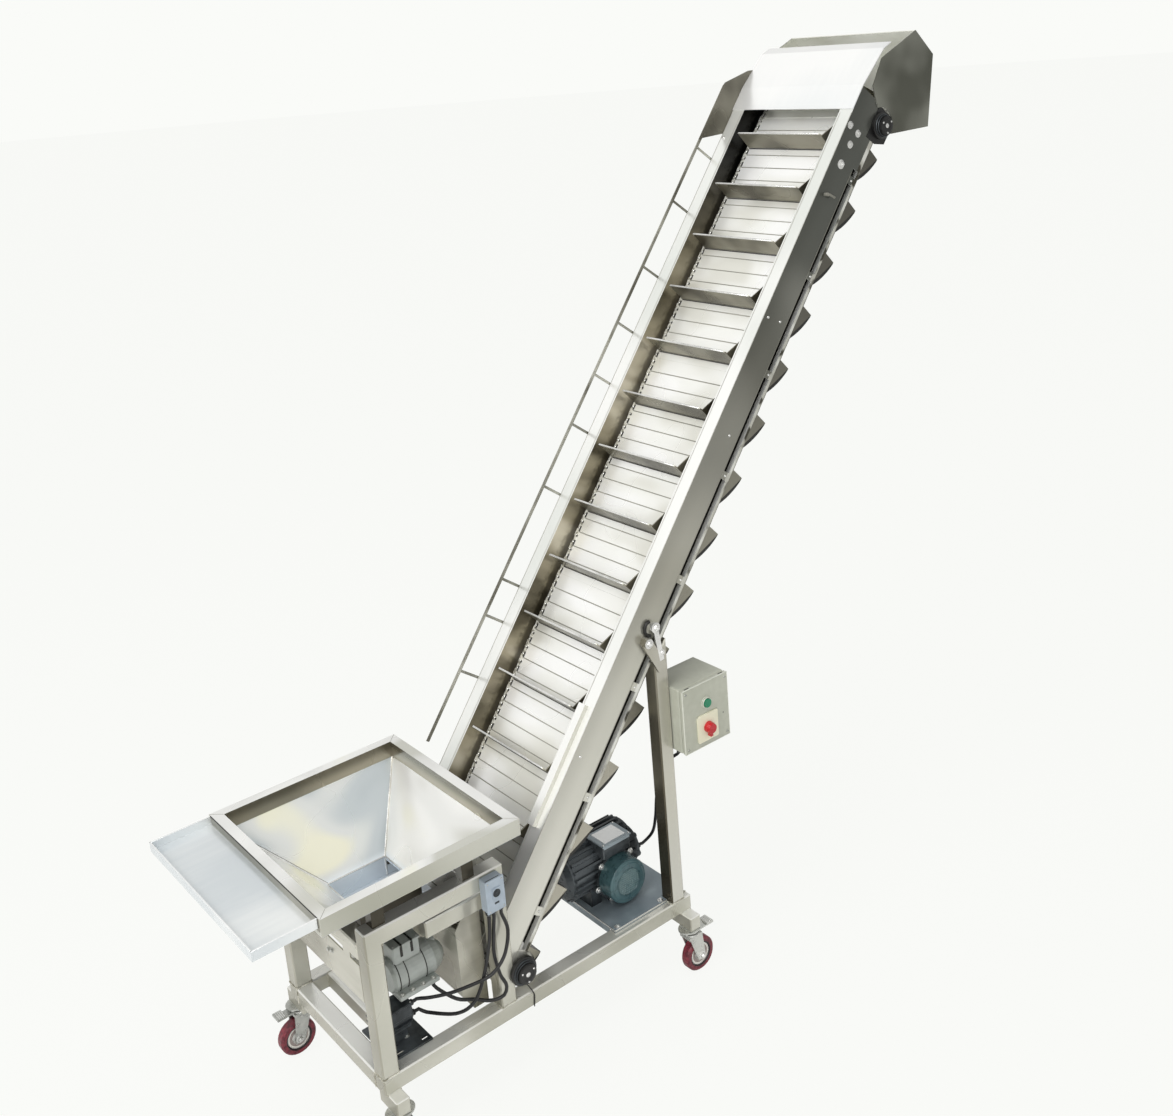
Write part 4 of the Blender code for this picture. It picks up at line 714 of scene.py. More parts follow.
# Slat chain: a dark line in each joint, link pins, rivets, a painted highlight along each flight's tip
# and painted shade at each flight's foot
LOOP = SLATS * PITCH
ARC = pi * WRAP
FIRST_FLIGHT = 0.1025
PHASE = FIRST_FLIGHT - PITCH / 2
FLIGHT_HIGH = 0.06
FLIGHT_LEAN = radians(10)
FLIGHT_THICK = 0.003 / cos(FLIGHT_LEAN)
FLIGHT_Y = 0.146
SLATS_PER_FLIGHT = 4


def on_loop(t):
    """Point and outward normal in (s, h) at a distance t from the tail's top."""
    t %= LOOP
    if t < SPAN:
        return Vector((t, WRAP))
    t -= SPAN
    if t < ARC:
        a = pi / 2 - t / WRAP
        return Vector((SPAN + cos(a) * WRAP, sin(a) * WRAP))
    t -= ARC
    if t < SPAN:
        return Vector((SPAN - t, -WRAP))
    a = -pi / 2 - (t - SPAN) / WRAP
    return Vector((cos(a) * WRAP, sin(a) * WRAP))


def slat_axes(j):
    """Middle of slat j with its direction of travel and outward normal, as frame axes."""
    a, b = on_loop(PHASE + j * PITCH), on_loop(PHASE + (j + 1) * PITCH)
    ahead = (b - a).normalized()
    out = Vector((-ahead.y, ahead.x))
    middle = (a + b) / 2
    return slope(middle.x, 0, middle.y), US * ahead.x + UH * ahead.y, UY, US * out.x + UH * out.y


# Link pins: start and end along the slat, nearest and farthest from its middle
LINK_PINS = ((-0.0175, -0.0035, 0.1452, 0.149), (0.005, 0.0105, 0.1452, 0.149),
    (-0.012, 0.008, 0.1562, 0.1578))
SEAM_HALF = 0.0012
seams = Shape("slat_seams", "seam", "chain")
pins = Shape("link_pins", "dark", "chain")
rivets = Shape("link_rivets", "bright", "chain")
edges = Shape("flight_tip_highlights", "bright", "chain")
foot_shade = Shape("flight_foot_shade", "dark", "chain")
for j in range(SLATS):
    axes = slat_axes(j)
    origin, ahead, across, out = axes
    if slat_axes((j - 1) % SLATS)[3].dot(out) > 0.9999:
        seams.block((-PITCH / 2 - SEAM_HALF, -FLIGHT_Y, SLAT_HALF - 0.0016),
            (-PITCH / 2 + SEAM_HALF, FLIGHT_Y, SLAT_HALF - 0.0003), 0, axes)
    for side in (-1, 1):
        for start, end, near, far in LINK_PINS:
            pins.block_at_side(side, (start, near, SLAT_HALF - 0.0004),
                (end, far, SLAT_HALF + 0.0013), 0, axes)
        for step in (-0.0095, 0.0095):
            seat = origin + across * side * 0.1525 + ahead * step + out * (SLAT_HALF + 0.0008)
            rivets.turned(((0.0026, -0.0006), (0.0024, 0.0006), (0.0014, 0.0013)), seat, out, 12)
    if j % SLATS_PER_FLIGHT:
        continue
    lean = spoke(out, ahead, FLIGHT_LEAN)
    tip = origin + out * (SLAT_HALF + FLIGHT_HIGH) + ahead * FLIGHT_HIGH * tan(FLIGHT_LEAN)
    # painted highlight: a bright strip over each flight's tip
    edges.block((-0.0006, -FLIGHT_Y + 0.0085, -0.0016), (FLIGHT_THICK + 0.0006, FLIGHT_Y, 0.0006),
        0.0005, (tip, ahead, across, lean))
    # painted shade: a dark strip in the crease at each flight's foot
    foot_shade.block((-0.0012, -FLIGHT_Y + 0.001, -0.0002), (0.0002, FLIGHT_Y - 0.001, 0.0022),
        0, (origin + out * SLAT_HALF, ahead, across, out))

# Return side: a dark bowed strip along each flight's end plate, painted shade standing for the shaded
# face below it
cheek_shade = Shape("flight_cheek_shade", "dark", "chain")
CHEEK_REACH = 0.108
CORNER_UP = 1 - 0.008 / FLIGHT_HIGH
SHADE_SAG, SHADE_STEPS = 0.009, 12
for j in range(0, SLATS, SLATS_PER_FLIGHT):
    origin, ahead, across, out = slat_axes(j)
    if out.dot(UH) > 0:
        continue
    near = origin - across * FLIGHT_Y + out * SLAT_HALF
    foot = near + ahead * CHEEK_REACH
    tip = near + (out * FLIGHT_HIGH + ahead * FLIGHT_HIGH * tan(FLIGHT_LEAN)) * CORNER_UP
    line = tip - foot
    away = line.cross(across).normalized()
    if away.dot(out) < 0:
        away = -away
    curve = [foot + line * (i / SHADE_STEPS)
        + away * SHADE_SAG * sin(pi * i / SHADE_STEPS) ** 0.7 for i in range(1, SHADE_STEPS)]
    cheek_shade.prism([foot + line * 0.02] + curve + [tip], across * 0.012)

# Beams: the fold lines of the flanges
folds = Shape("beam_folds", "seam", "beam")
for side in (-1, 1):
    for y in (side * 0.1742, side * 0.211):
        folds.block((0.02, y - 0.0006, BEAM_TOP - 0.0008),
            (SPAN - 0.03, y + 0.0006, BEAM_TOP + 0.0004), 0, INCLINED)
    folds.block_at_side(side, (0.02, BEAM_Y + 0.0003, 0.0275), (SPAN - 0.15, BEAM_Y - 0.001, 0.029),
        0, INCLINED)

# Head: bolts, hook pin, bearing plate and the bearings' rings, faces and bolts
bolts = Shape("web_bolts", "bright", "beam")
for s, h in ((1.5985, 0.0955), (1.6074, 0.0525), (1.2994, 0.0582), (0.4804, 0.0911)):
    bolts.screw(slope(s, -BEAM_Y, h), NEAR, 0.0036)
bolts.bolt(slope(2.0346, -BEAM_Y, 0.0741), NEAR, 0.012, stud=0.002)
for s, h in ((2.1323, 0.098), (2.1297, 0.0618), (2.0922, 0.0718)):
    bolts.bolt(slope(s, -BEAM_Y, h), NEAR)
for s in (2.06, 1.96):
    bolts.bolt(slope(s, BEAM_Y, 0.05), FAR)
for i in range(8):
    for side in (-1, 1):
        bolts.screw(slope(0.13 + i * 0.27, side * (BEAM_Y - 0.0002), 0.017), UY * side, 0.003)

HOOK_S = 1.9438
hook = Shape("hook_pin", "seam", "beam")
hook.rod(slope(HOOK_S, -BEAM_Y + 0.001, 0.084), slope(HOOK_S, -BEAM_Y - 0.012, 0.084), 0.0045)
hook.tube([slope(HOOK_S + d, -BEAM_Y - 0.01, h) for d, h in
    ((0.0, 0.088), (0.003, 0.078), (0.005, 0.066), (0.006, 0.058))], 0.003)

take_up = Shape("bearing_plate", "bearing", "bearing")
take_up.prism([slope(SPAN + s, -(BEAM_Y + 0.0002), h) for s, h in
    ((-0.05, 0.03), (-0.05, -0.006), (-0.032, -0.038),
    (0.03, -0.04), (0.04, -0.03), (0.04, 0.03))], NEAR * 0.0012)

rims = Shape("bearing_rings", "casting", "shaft")
faces = Shape("bearing_faces", "bearing", "bearing")
caps = Shape("bearing_bolts", "bright", "shaft")
for s, seat in ((0.0, FRAME_Y), (SPAN, BEAM_Y)):
    centre = slope(s, -seat, 0)
    front = centre - UY * 0.0223
    rims.ring(centre - UY * 0.012, UY, 0.0285, 0.0014)
    rims.ring(centre - UY * 0.017, UY, 0.0262, 0.001)
    faces.turned(((0.0222, 0), (0.0222, 0.0008), (0.0206, 0.0016), (0.015, 0.0016), (0.0142, 0.0006)),
        front, NEAR, 36)
    caps.turned(((0.0056, 0), (0.0056, 0.0016), (0.0044, 0.0022)), front - UY * 0.0004, NEAR, 24)
    for k in range(3):
        out = spoke(UX, UZ, radians(30 + 120 * k))
        caps.bolt(front + out * 0.0178 - UY * 0.0012, NEAR, 0.0045, washer=False)

# Guard: the catch below its end plate
clips = Shape("guard_catch", "bright", "tube")
pad = Shape("guard_catch_pad", "dark", "tube")
clips.block((2.108, BEAM_Y + 0.004, 0.121), (2.126, BEAM_Y + 0.01, 0.128), 0.001, INCLINED)
clips.block((2.108, BEAM_Y + 0.004, 0.131), (2.126, BEAM_Y + 0.009, 0.136), 0.001, INCLINED)
pad.block((2.1, BEAM_Y + 0.0035, 0.112), (2.12, BEAM_Y + 0.008, 0.122), 0.001, INCLINED)
clips.bolt(slope(2.085, BEAM_Y - 0.01, BEAM_TOP), UH, 0.006)


def around(points):
    """Each point with the next, and the last with the first."""
    return zip(points, points[1:] + points[:1])


# Hopper: weld lines down its corners and round its throat, and mitres in its rim
HX, HW, HZ = (-0.47, 0.006), 0.263, 0.674
RIM = 0.025
TX, TW, TZ = (-0.3, -0.152), 0.075, 0.5
HOPPER_MIDDLE = -0.232


def corners(x, half_width, inset=0.0):
    (x0, x1), y = (x[0] + inset, x[1] - inset), half_width - inset
    return [(x0, -y), (x1, -y), (x1, y), (x0, y)]


welds = Shape("hopper_welds", "bright", "hopper")
lines = Shape("hopper_corner_lines", "dark", "hopper")
mitres = Shape("rim_mitres", "seam", "hopper")
throat = corners(TX, TW)
for (mx, my), (tx, ty), (cx, cy) in zip(corners(HX, HW, RIM), throat, corners(HX, HW)):
    inward = Vector((HOPPER_MIDDLE - mx, -my, 0)).normalized()
    beside = Vector((-inward.y, inward.x, 0)) * 0.0036 + UZ * 0.0004
    top, low = at(mx, my, HZ - 0.04) + inward * 0.0015, at(tx, ty, TZ) + inward * 0.0015
    welds.tube([top.lerp(low, i / 24) for i in range(25)], 0.0028, 8)
    lines.tube([top + beside, low + beside], 0.0009, 6)
    welds.tube([at(tx, ty, z) + inward * 0.0012 for z in (TZ - 0.001, 0.4535)], 0.0022, 8)
    a, b = at(mx, my, HZ), at(cx, cy, HZ)
    along = (b - a).normalized()
    mitres.block((0.001, -0.0005, -0.0002), ((b - a).length - 0.001, 0.0005, 0.0002),
        0, (a, along, UZ.cross(along), UZ))
for a, b in around(throat):
    welds.tube([at(*a, TZ + 0.0006), at(*b, TZ + 0.0006)], 0.0019, 8)
mitres.block((HX[0] - 0.0012, -HW + 0.006, HZ - 0.03), (HX[0] + 0.0004, HW - 0.006, HZ - 0.0002))

# Frame: weld beads at the tubes' joints
beads = Shape("weld_beads", "weld", "tube")
POSTS = ((-0.366, -0.326), (-0.061, -0.021), (0.451, 0.491))
SWIVELS = (-0.3445, 0.492)
TUBE, RAIL_TOP = 0.04, 0.204
RAIL_LOW = RAIL_TOP - TUBE


def weld(a, b, radius=0.0018):
    beads.bead(at(*a), at(*b), radius)


for side in (-1, 1):
    outer, inner = side * FRAME_Y, side * (FRAME_Y - TUBE)
    for x0, x1 in POSTS:
        z = RAIL_TOP + 0.0008
        for a, b in around([at(x0, outer, z), at(x1, outer, z), at(x1, inner, z), at(x0, inner, z)]):
            beads.bead(a.lerp(b, 0.08), a.lerp(b, 0.92), 0.0021)
    for x0 in (-0.366, -0.287, 0.451):
        for x in (x0, x0 + TUBE):
            weld((x, inner, RAIL_TOP - 0.003), (x, inner, RAIL_LOW + 0.003), 0.0019)
        weld((x0 + 0.002, inner, RAIL_TOP), (x0 + TUBE - 0.002, inner, RAIL_TOP))
    for x0 in SWIVELS:
        for x in (x0 - 0.016, x0 + 0.016):
            weld((x, outer - side * 0.002, RAIL_LOW), (x, inner + side * 0.002, RAIL_LOW))
        y = side * (FRAME_Y + 0.0006)
        weld((x0 - 0.015, y, RAIL_LOW), (x0 + 0.015, y, RAIL_LOW))
    for x in (-0.326, -0.061):
        weld((x, outer, STAND_TOP - TUBE), (x, inner, STAND_TOP - TUBE))
    y = side * 0.201
    weld((0.4915, y, RAIL_TOP + 0.03), (0.4915, y, RAIL_TOP + 0.002), 0.0019)
    weld((0.4925, y, RAIL_TOP + 0.001), (0.5095, y, RAIL_TOP + 0.001), 0.0019)

# Legs: drilled cap, the pivot's arm with its bolts and the dark hook beside it
HOLE_X, HOLE_Z = 0.4765, 0.87
PIVOT_X, PIVOT_Z = 0.4562, 0.948
ARM_X = 0.47
for side, name in ((-1, "near"), (1, "far")):
    axis = UY * side
    face = side * FRAME_Y
    hole = Shape("leg_hole_" + name, "dark", "tube")
    arm = Shape("pivot_arm_" + name, "bright", "tube")
    catch = Shape("pivot_catch_" + name, "dark", "tube")
    hole.turned(((0.0052, 0), (0.0052, 0.0004)), at(HOLE_X, face, HOLE_Z), axis, 20)
    arm.ring(at(HOLE_X, face + side * 0.0004, HOLE_Z), UY, 0.0056, 0.0007, 24, 6)
    out = side * (FRAME_Y + 0.0062)
    foot, tip = at(ARM_X, out, 0.86), at(PIVOT_X, out, 0.955)
    along = (tip - foot).normalized()
    arm.block((0, -0.007, -0.006), ((tip - foot).length, 0.007, 0.0004),
        0.001, (foot, along, UY.cross(along) * side, axis))
    arm.bolt(at(ARM_X, out + side * 0.0004, 0.88), axis, 0.008)
    arm.bolt(at(PIVOT_X, out + side * 0.0004, PIVOT_Z), axis, 0.013, stud=0.003)
    arm.turned(((0.0105, 0), (0.0105, 0.0062), (0.009, 0.007)),
        at(PIVOT_X, side * BEAM_Y, PIVOT_Z), axis)
    arm.bolt(at(0.4289, side * (FRAME_Y + 0.012), 0.918), axis, 0.012, stud=0.002)
    catch.tube([at(0.44 + dx, side * (BEAM_Y + 0.0045), 0.95 + dz) for dx, dz in
        ((0.006, -0.022), (-0.003, -0.02), (-0.009, -0.01),
        (-0.009, 0.003), (-0.003, 0.012), (0.006, 0.014))], 0.0042)

# Control box: screws, hinge clips, pale rings round the button as painted highlight, the knob's plate
# and the knob's edges
screws = Shape("box_screws", "zinc", "box")
slots = Shape("box_slots", "dark", "box")
ring = Shape("button_ring_highlight", "box_highlight", "box")
plate = Shape("knob_plate", "cream", "box")
BX0, BX1 = BOX_X
BZ0, BZ1 = BOX_Z
for x, z in product((BX0 + 0.01, BX1 - 0.01), (BZ0 + 0.011, BZ1 - 0.011)):
    screws.screw(at(x, BOX_FRONT, z), NEAR, 0.003)
    slots.block((x - 0.0022, BOX_FRONT - 0.0024, z - 0.0004),
        (x + 0.0022, BOX_FRONT - 0.0014, z + 0.0004))
for x in (BX0 + 0.012, BX1 - 0.026):
    slots.block((x, BOX_FRONT + 0.0035, BZ1 - 0.0004),
        (x + 0.014, BOX_FRONT + 0.0065, BZ1 + 0.0006), 0.0002)
slots.turned(((0.0016, 0), (0.0016, 0.0003)), at(BX1 - 0.02, BOX_FRONT, 0.678), NEAR, 12)
BUTTON_X, BUTTON_Z, KNOB_Z = 0.5653, 0.726, 0.663
BUTTON = at(BUTTON_X, BOX_FRONT, BUTTON_Z)
# painted highlight: pale rings round the green button
ring.ring(BUTTON - UY * 0.0042, UY, 0.0128, 0.0012, 40)
ring.ring(BUTTON - UY * 0.0002, UY, 0.0146, 0.0008, 40, 6)
KNOB = at(BUTTON_X, BOX_FRONT, KNOB_Z)
outline = []
r = 0.004
wide, high = 0.0332 - r, 0.0352 - r
for cx, cz, start in ((wide, high, 0), (-wide, high, 90), (-wide, -high, 180), (wide, -high, 270)):
    for i in range(5):
        a = radians(start + 22.5 * i)
        outline.append(KNOB + UX * (cx + r * cos(a)) + UZ * (cz + r * sin(a)) + UY * 0.0004)
plate.prism(outline, -UY * 0.0036)
grip = Shape("knob_grip", "red", "red", "rotary_knob")
skirt = Shape("knob_skirt", "red", "red", "rotary_knob")
grip.block((BUTTON_X - 0.002, BOX_FRONT - 0.0198, KNOB_Z - 0.012),
    (BUTTON_X + 0.002, BOX_FRONT - 0.018, KNOB_Z + 0.009), 0.0006)
skirt.ring(at(BUTTON_X, BOX_FRONT - 0.0062, KNOB_Z), UY, 0.0138, 0.0007, 36, 6)

# Switch box: slit along its top, a generic round rocker and cover screws
FACE_Y = -FRAME_Y - 0.028
SX0, SX1 = -0.086, -0.04
SWITCH_X = (SX0 + SX1) / 2 + 0.001
rocker = Shape("switch_rocker", "casting", "switch")
slit = Shape("switch_slit", "dark", "switch")
cover = Shape("switch_screws", "zinc", "switch")
middle = at(SWITCH_X, FACE_Y - 0.003, SWITCH_BOTTOM + 0.045)
rocker.turned(((0.0095, -0.0004), (0.0095, 0.0006), (0.0088, 0.0012), (0.006, 0.0004)), middle, NEAR, 32)
rocker.block((-0.007, -0.0016, -0.0055), (0.0004, 0.0004, 0.0055), 0.0006, (middle, UX, UY, UZ))
rocker.block((-0.006, -0.0008, -0.0024), (0.006, 0.0004, 0.0024),
    0.0006, (at(SWITCH_X, FACE_Y, SWITCH_BOTTOM + 0.02), UX, UY, UZ))
slit.block((SX0 + 0.004, FACE_Y + 0.0045, SWITCH_BOTTOM + 0.0765),
    (SX1 - 0.008, FACE_Y + 0.0068, SWITCH_BOTTOM + 0.0776))
for x, z in product((SX0 + 0.005, SX1 - 0.005), (SWITCH_BOTTOM + 0.005, SWITCH_BOTTOM + 0.072)):
    cover.screw(at(x, FACE_Y, z), NEAR, 0.0019)

# Cable glands: a ribbed nut round each
nuts = Shape("gland_nuts", "cable", "cable")
SPARE_GLAND = Vector((0.5053, -0.222, 0.603))
glands = [(g, -DOWN) for g in SWITCH_GLANDS + [BOX_GLAND, SPARE_GLAND, VIBRATOR_GLAND]]
glands += [(g, -AFT) for g in (LOW_GLAND, LOW_BOX_GLAND, MOTOR_GLAND)]
for gland, back in glands:
    end = at(*gland)
    nuts.turned(((0.0056, 0.0004), (0.0068, 0.0016), (0.0068, 0.005), (0.006, 0.0056)), end, back, 12)
    nuts.turned(((0.0066, 0.0066), (0.0078, 0.0074), (0.0078, 0.0094)), end, back, 6)

# Motor: lugs with bolts round the flange, lid, bare plate, cover's edge, and grille with paler wires as
# painted highlight and a black sheet of painted shade behind them
FAN_X, FAN_Z = 0.374, 0.275
lugs = Shape("motor_lugs", "casting", "casting")
bright = Shape("motor_bolts", "bright", "casting")
lid = Shape("terminal_lid", "plate", "casting")
tag = Shape("terminal_plate", "pale", "casting")
for degrees in (137, 194, 43, -14, 250, 290):
    seat = at(FAN_X, 0, FAN_Z) + spoke(UX, UZ, radians(degrees)) * 0.0625
    seat.y = TAIL_Y - 0.1045
    lugs.turned(((0.0085, 0), (0.0085, 0.012)), seat + UY * 0.0002, UY, 16)
    bright.bolt(seat, NEAR, 0.0085)
housing_end = at(0.4735, -0.03, 0.2865)
for k in range(6):
    out = spoke(UY, UZ, radians(15 + 60 * k))
    bright.bolt(housing_end + out * 0.0395, UX, 0.0075)
    lugs.turned(((0.008, 0), (0.008, 0.01), (0.006, 0.013)),
        housing_end + out * 0.046 - UX * 0.0125, UX, 14)
lid.block((0.3305, -0.1145, 0.37), (0.4205, -0.0435, 0.3748), 0.0014)
lid.block((0.3345, -0.1135, 0.364), (0.4165, -0.0445, 0.3702), 0.0008)
for x, y in product((0.3355, 0.4155), (-0.1095, -0.0485)):
    bright.screw(at(x, y, 0.3746), UZ, 0.0026)
tag.block((0.343, -0.106, 0.3744), (0.408, -0.052, 0.3754), 0.0003)
edge = Shape("fan_cover_edge", "teal", "teal")
black_shade_sheet = Shape("grille_shade_sheet", "bearing", "teal")
# painted highlight: the grille wires in a paler teal
wires = Shape("grille_wires", "teal_highlight", "teal")
edge.ring(at(FAN_X, -0.144, FAN_Z), UY, 0.0512, 0.0056, 56, 12)
edge.ring(at(FAN_X, -0.15, FAN_Z), UY, 0.0345, 0.001, 48, 6)
# painted shade: a black sheet just behind the grille wires
black_shade_sheet.turned(((0.0338, 0), (0.0338, 0.0004)), at(FAN_X, -0.147, FAN_Z), NEAR, 40)
GRILLE_R, WIRE_STEP = 0.0335, 0.004
for family in (0, 1):
    for i in range(-8, 9):
        offset = i * WIRE_STEP
        reach = sqrt(max(0.0, GRILLE_R ** 2 - offset ** 2))
        if reach < 0.003:
            continue
        count = max(4, int(reach / 0.001))
        points = []
        for k in range(count + 1):
            t = -reach + 2 * reach * k / count
            u, v = (t, offset) if family else (offset, t)
            wave = 0.0006 * cos(pi * (t / WIRE_STEP + i + family))
            x, z = (u - v) * sqrt(0.5), (u + v) * sqrt(0.5)
            points.append(at(FAN_X + x, -0.1484 + wave, FAN_Z + z))
        wires.tube(points, 0.00072, 5)
# painted highlight: paler strips along the edges of the control box's front
margins = Shape("box_margins", "box_highlight", "box")
HIGHLIGHT_WIDTH = 0.0022
for x0, z0, x1, z1 in ((BX0, BZ0, BX0 + HIGHLIGHT_WIDTH, BZ1), (BX1 - HIGHLIGHT_WIDTH, BZ0, BX1, BZ1),
        (BX0, BZ0, BX1, BZ0 + HIGHLIGHT_WIDTH), (BX0, BZ1 - HIGHLIGHT_WIDTH, BX1, BZ1)):
    margins.block((x0, BOX_FRONT - 0.0004, z0), (x1, BOX_FRONT + 0.004, z1), 0.001)

# Motor plate: bright folded edges and its bolts
fold = Shape("plate_folds", "bright", "plate")
feet_bolts = Shape("motor_foot_bolts", "zinc", "casting")
fold.block((0.2832, -0.2002, 0.2062), (0.449, -0.199, 0.2108), 0.0004)
fold.block((0.2826, -0.199, 0.2062), (0.2838, 0.199, 0.2108), 0.0004)
for x, y in product((0.297, 0.436), (-0.19, 0.19)):
    fold.bolt(at(x, y, 0.2103), UZ, 0.008)
for x, y in product((0.315, 0.405), (-0.084, 0.024)):
    feet_bolts.bolt(at(x, y, 0.2552), UZ, 0.009)

# Casters: race and bolts of the swivel, axle nuts, pedal ribs and hub rings
WHEEL_Z, WHEEL_HALF, FORK_TOP = 0.045, 0.013, 0.1285
for end, swivel_x, toward in (("front", SWIVELS[0], -1), ("rear", SWIVELS[1], 1)):
    for side_name, side in (("near", -1), ("far", 1)):
        y = side * 0.232
        axle_x = swivel_x + toward * 0.018
        place = end + "_" + side_name
        race = Shape("caster_race_" + place, "dark", "zinc", "caster_" + place)
        fittings = Shape("caster_fittings_" + place, "bright", "zinc", "caster_" + place)
        hub = Shape("wheel_rings_" + place, "bright", "tread", "wheel_" + place)
        race.ring(at(swivel_x, y, FORK_TOP - 0.0115), UZ, 0.0208, 0.0011, 36, 6)
        fittings.ring(at(swivel_x, y, FORK_TOP - 0.006), UZ, 0.0212, 0.0013, 36, 6)
        fittings.ring(at(swivel_x, y, FORK_TOP - 0.0168), UZ, 0.02, 0.0011, 36, 6)
        for dx, dy in product((-0.024, 0.024), (-0.012, 0.012)):
            fittings.bolt(at(swivel_x + dx, y + dy, FORK_TOP - 0.0038), -UZ, 0.0065, washer=False)
        for k in (-1, 1):
            fittings.bolt(at(axle_x, y + k * (WHEEL_HALF + 0.005), WHEEL_Z), UY * k, 0.0105, stud=0.002)
        for i in range(4):
            x = swivel_x + toward * (0.0445 + 0.0045 * i)
            fittings.block((x - 0.0008, y - 0.015, FORK_TOP - 0.0084),
                (x + 0.0008, y + 0.015, FORK_TOP - 0.0072), 0.0003)
        for k in (-1, 1):
            hub.ring(at(axle_x, y + k * (WHEEL_HALF - 0.0002), WHEEL_Z), UY, 0.0112, 0.0009, 32, 6)
            hub.ring(at(axle_x, y + k * (WHEEL_HALF - 0.0042), WHEEL_Z), UY, 0.0275, 0.0011, 48, 6)

# Vibrator: clamp bands, lip bolts and cover screws; low motor's terminal lid
bands = Shape("vibrator_bands", "dark", "grey")
fixings = Shape("vibrator_bolts", "zinc", "grey")
vib_lid = Shape("vibrator_lid", "grey", "grey")
VX0, VX1, VY, VZ, VR = -0.275, -0.171, -0.105, 0.345, 0.04
VIB_LID_Y, VIB_LID_Z = 0.0235, VZ + 0.0755
for x in (VX0 + 0.014, VX0 + 0.034, VX1 - 0.024):
    bands.ring(at(x, VY, VZ), UX, VR + 0.0002, 0.0012, 48, 6)
for x in (VX0 + 0.03, VX0 + 0.056):
    bands.block((x, VY - VIB_LID_Y, VZ + 0.046), (x + 0.006, VY + VIB_LID_Y, VIB_LID_Z), 0.0006)
for x in (VX0 + 0.01, VX0 + 0.036, VX0 + 0.062, VX0 + 0.088):
    fixings.bolt(at(x, VY - 0.0475, VZ - VR + 0.015), UZ, 0.007)
vib_lid.block((VX0 + 0.0105, VY - VIB_LID_Y, VZ + 0.0705),
    (VX1 - 0.0235, VY + VIB_LID_Y, VIB_LID_Z), 0.0012)
for x, dy in product((VX0 + 0.016, VX1 - 0.029), (-0.018, 0.018)):
    fixings.screw(at(x, VY + dy, VZ + 0.0754), UZ, 0.002)
vib_lid.ring(at(VX1 - 0.001, VY, VZ), UX, VR - 0.0026, 0.0016, 48, 6)
low_lid = Shape("low_motor_lid", "casting", "casting")
low_screws = Shape("low_motor_screws", "zinc", "casting")
low_lid.block((-0.3113, -0.1613, 0.293), (-0.2487, -0.1087, 0.299), 0.0012)
low_lid.ring(at(-0.247, -0.115, 0.252), UX, 0.03, 0.0016, 40, 6)
for x, y in product((-0.3075, -0.2525), (-0.1575, -0.1125)):
    low_screws.screw(at(x, y, 0.2988), UZ, 0.002)
for x, y in product((-0.308, -0.264), (-0.142, -0.088)):
    low_screws.bolt(at(x, y, 0.2093), UZ, 0.007)

# Tray: bright folded edge and its weld to the hopper's rim
tray = Shape("tray_edge", "pale", "hopper")
tray.block((-0.609, -0.2545, 0.6734), (-0.6056, 0.2545, 0.6746), 0.0005)
for side in (-1, 1):
    tray.block_at_side(side, (-0.609, 0.2511, 0.6734), (-0.4712, 0.2549, 0.6746), 0.0005)
tray_seam = Shape("tray_seam", "dark", "hopper")
tray_seam.rod(at(-0.4706, -0.253, 0.6738), at(-0.4706, 0.253, 0.6738), 0.0012, 8)
for side in (-1, 1):
    tray_seam.rod(at(-0.4706, side * 0.2545, 0.653), at(-0.4706, side * 0.2545, 0.6735), 0.0014, 8)

# Tail: black catch and marks on the web, and the thin tie that hangs to the rail
marks = Shape("tail_tie", "dark", "beam")
marks.block((0.03, -BEAM_Y - 0.0026, 0.053), (0.039, -BEAM_Y + 0.0004, 0.06), 0.001, INCLINED)
marks.block((0.02, -BEAM_Y - 0.0022, 0.056), (0.033, -BEAM_Y + 0.0004, 0.0588), 0.0008, INCLINED)
tie = ((-0.004, 0.2475), (0.0012, 0.2411), (0.01, 0.226), (0.019, 0.208), (0.0248, 0.1941),
    (0.0235, 0.178), (0.0214, 0.164))
marks.tube([at(x, -FRAME_Y - 0.0016 - 0.005 * max(0.0, (z - RAIL_TOP) / 0.043), z)
    for x, z in tie], 0.0013, 8)

# Front panel: two small bolts
panel = Shape("panel_bolts", "zinc", "tube")
for y, z in ((-0.0385, 0.431), (-0.0555, 0.437)):
    panel.bolt(at(-0.3655, y, z), -UX, 0.007)

for shape in Shape.pieces:
    shape.build()

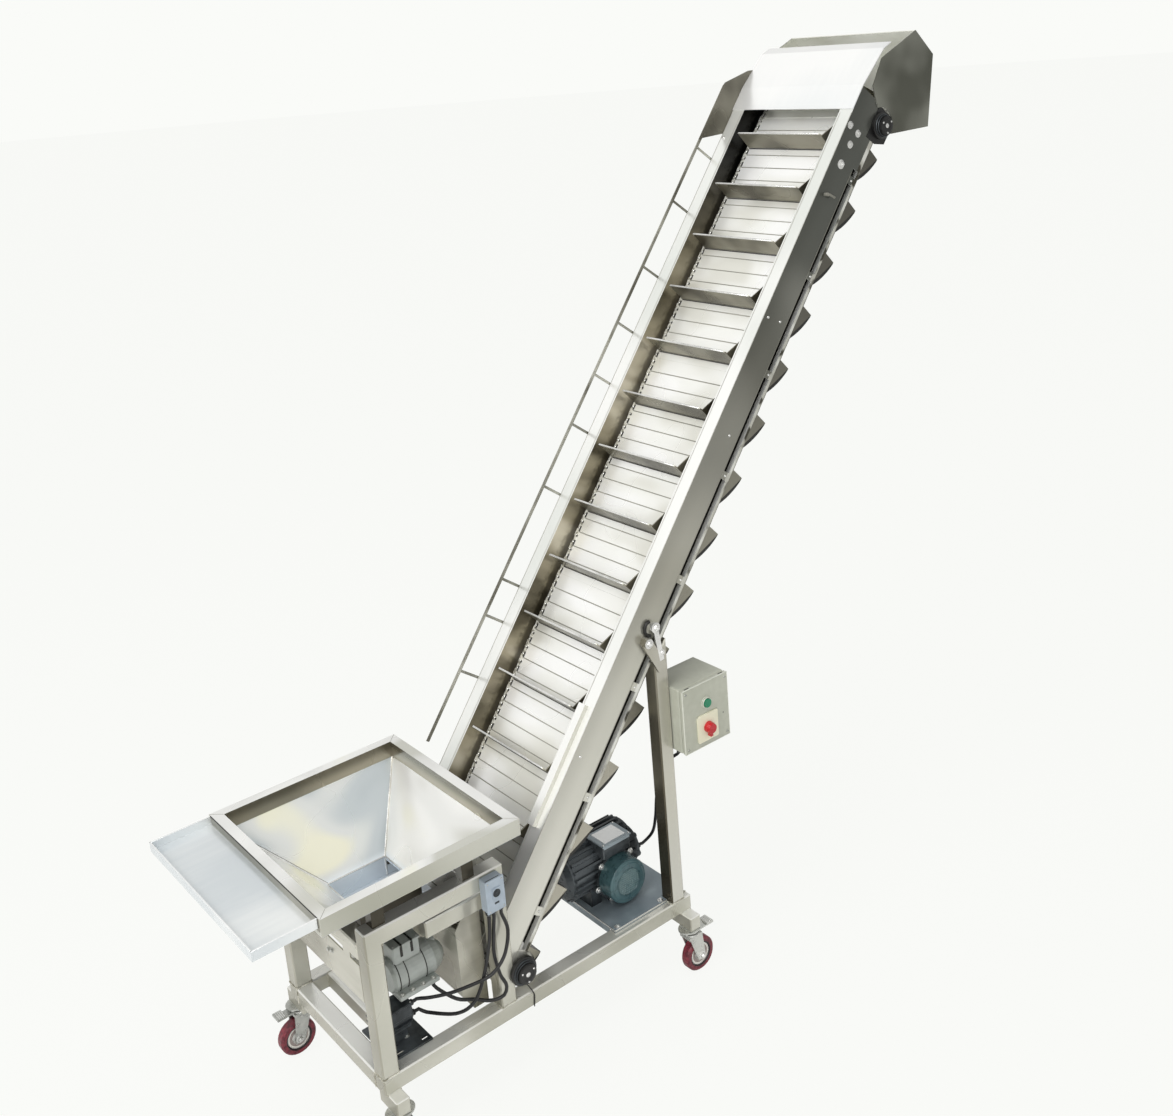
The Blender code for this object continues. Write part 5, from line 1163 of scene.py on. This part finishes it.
# Floor, backdrop and light
WHITE = (250, 251, 248)
FLOOR_GLOW = 0.94        # how much of the floor is plain white to the camera; the rest takes the shadow
floor_look = bpy.data.materials.new("floor")
floor_look.use_nodes = True
tree = floor_look.node_tree
floor_shader = tree.nodes["Principled BSDF"]
floor_shader.inputs["Base Color"].default_value = (0.8, 0.8, 0.79, 1)
floor_shader.inputs["Roughness"].default_value = 0.9
glow = node(tree, "Emission", WHITE)
seen = node(tree, "LightPath").outputs["Is Camera Ray"]
share = node(tree, "Math", seen, FLOOR_GLOW, operation="MULTIPLY")
blend = node(tree, "MixShader", share.outputs[0], floor_shader.outputs[0], glow.outputs[0])
put(tree, tree.nodes["Material Output"].inputs[0], blend.outputs[0])
bm = bmesh.new()
bmesh.ops.create_circle(bm, cap_ends=True, segments=96, radius=60)
floor_mesh = bpy.data.meshes.new("floor")
bm.to_mesh(floor_mesh)
bm.free()
floor_mesh.materials.append(floor_look)
floor = shown("floor", floor_mesh)
floor.location.z = -0.001
floor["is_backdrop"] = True

# Studio light: grey below, brightest from above and behind the camera's left
SKY = ((0.0, 0.34), (0.42, 0.52), (0.6, 0.8), (0.75, 1.0), (1.0, 1.05))
SKY_TOP = Vector((-0.42, -0.1, 0.9)).normalized()
world = bpy.data.worlds.new("studio")
bpy.context.scene.world = world
world.use_nodes = True
tree = world.node_tree
tree.nodes.clear()
direction = node(tree, "TexCoord").outputs["Generated"]
lean = node(tree, "VectorMath", direction, SKY_TOP, operation="DOT_PRODUCT").outputs["Value"]
spread = node(tree, "MapRange", lean, -1.0, 1.0).outputs[0]
tint = colour_ramp(tree, spread, [(place, (v, v, v * 0.975)) for place, v in SKY], "LINEAR")
light = node(tree, "Background", tint, 0.78)
white = node(tree, "Background", WHITE)
rays = node(tree, "LightPath").outputs["Is Camera Ray"]
pick = node(tree, "MixShader", rays, light.outputs[0], white.outputs[0])
node(tree, "OutputWorld", pick.outputs[0])


def lamp(name, place, aim, size, power):
    data = bpy.data.lights.new(name, "AREA")
    data.shape = "RECTANGLE"
    data.size, data.size_y = size
    data.energy = power
    obj = shown(name, data)
    obj.location = place
    obj.rotation_euler = (Vector(aim) - Vector(place)).to_track_quat("-Z", "Y").to_euler()


lamp("key", (-3.0, -0.6, 4.2), (0, 0, 0.9), (2.6, 2.6), 118)
lamp("side", (-2.5, -4.0, 1.6), (0, 0, 1.0), (2.0, 2.4), 26)

bpy.context.scene.view_settings.view_transform = "Standard"

low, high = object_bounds()
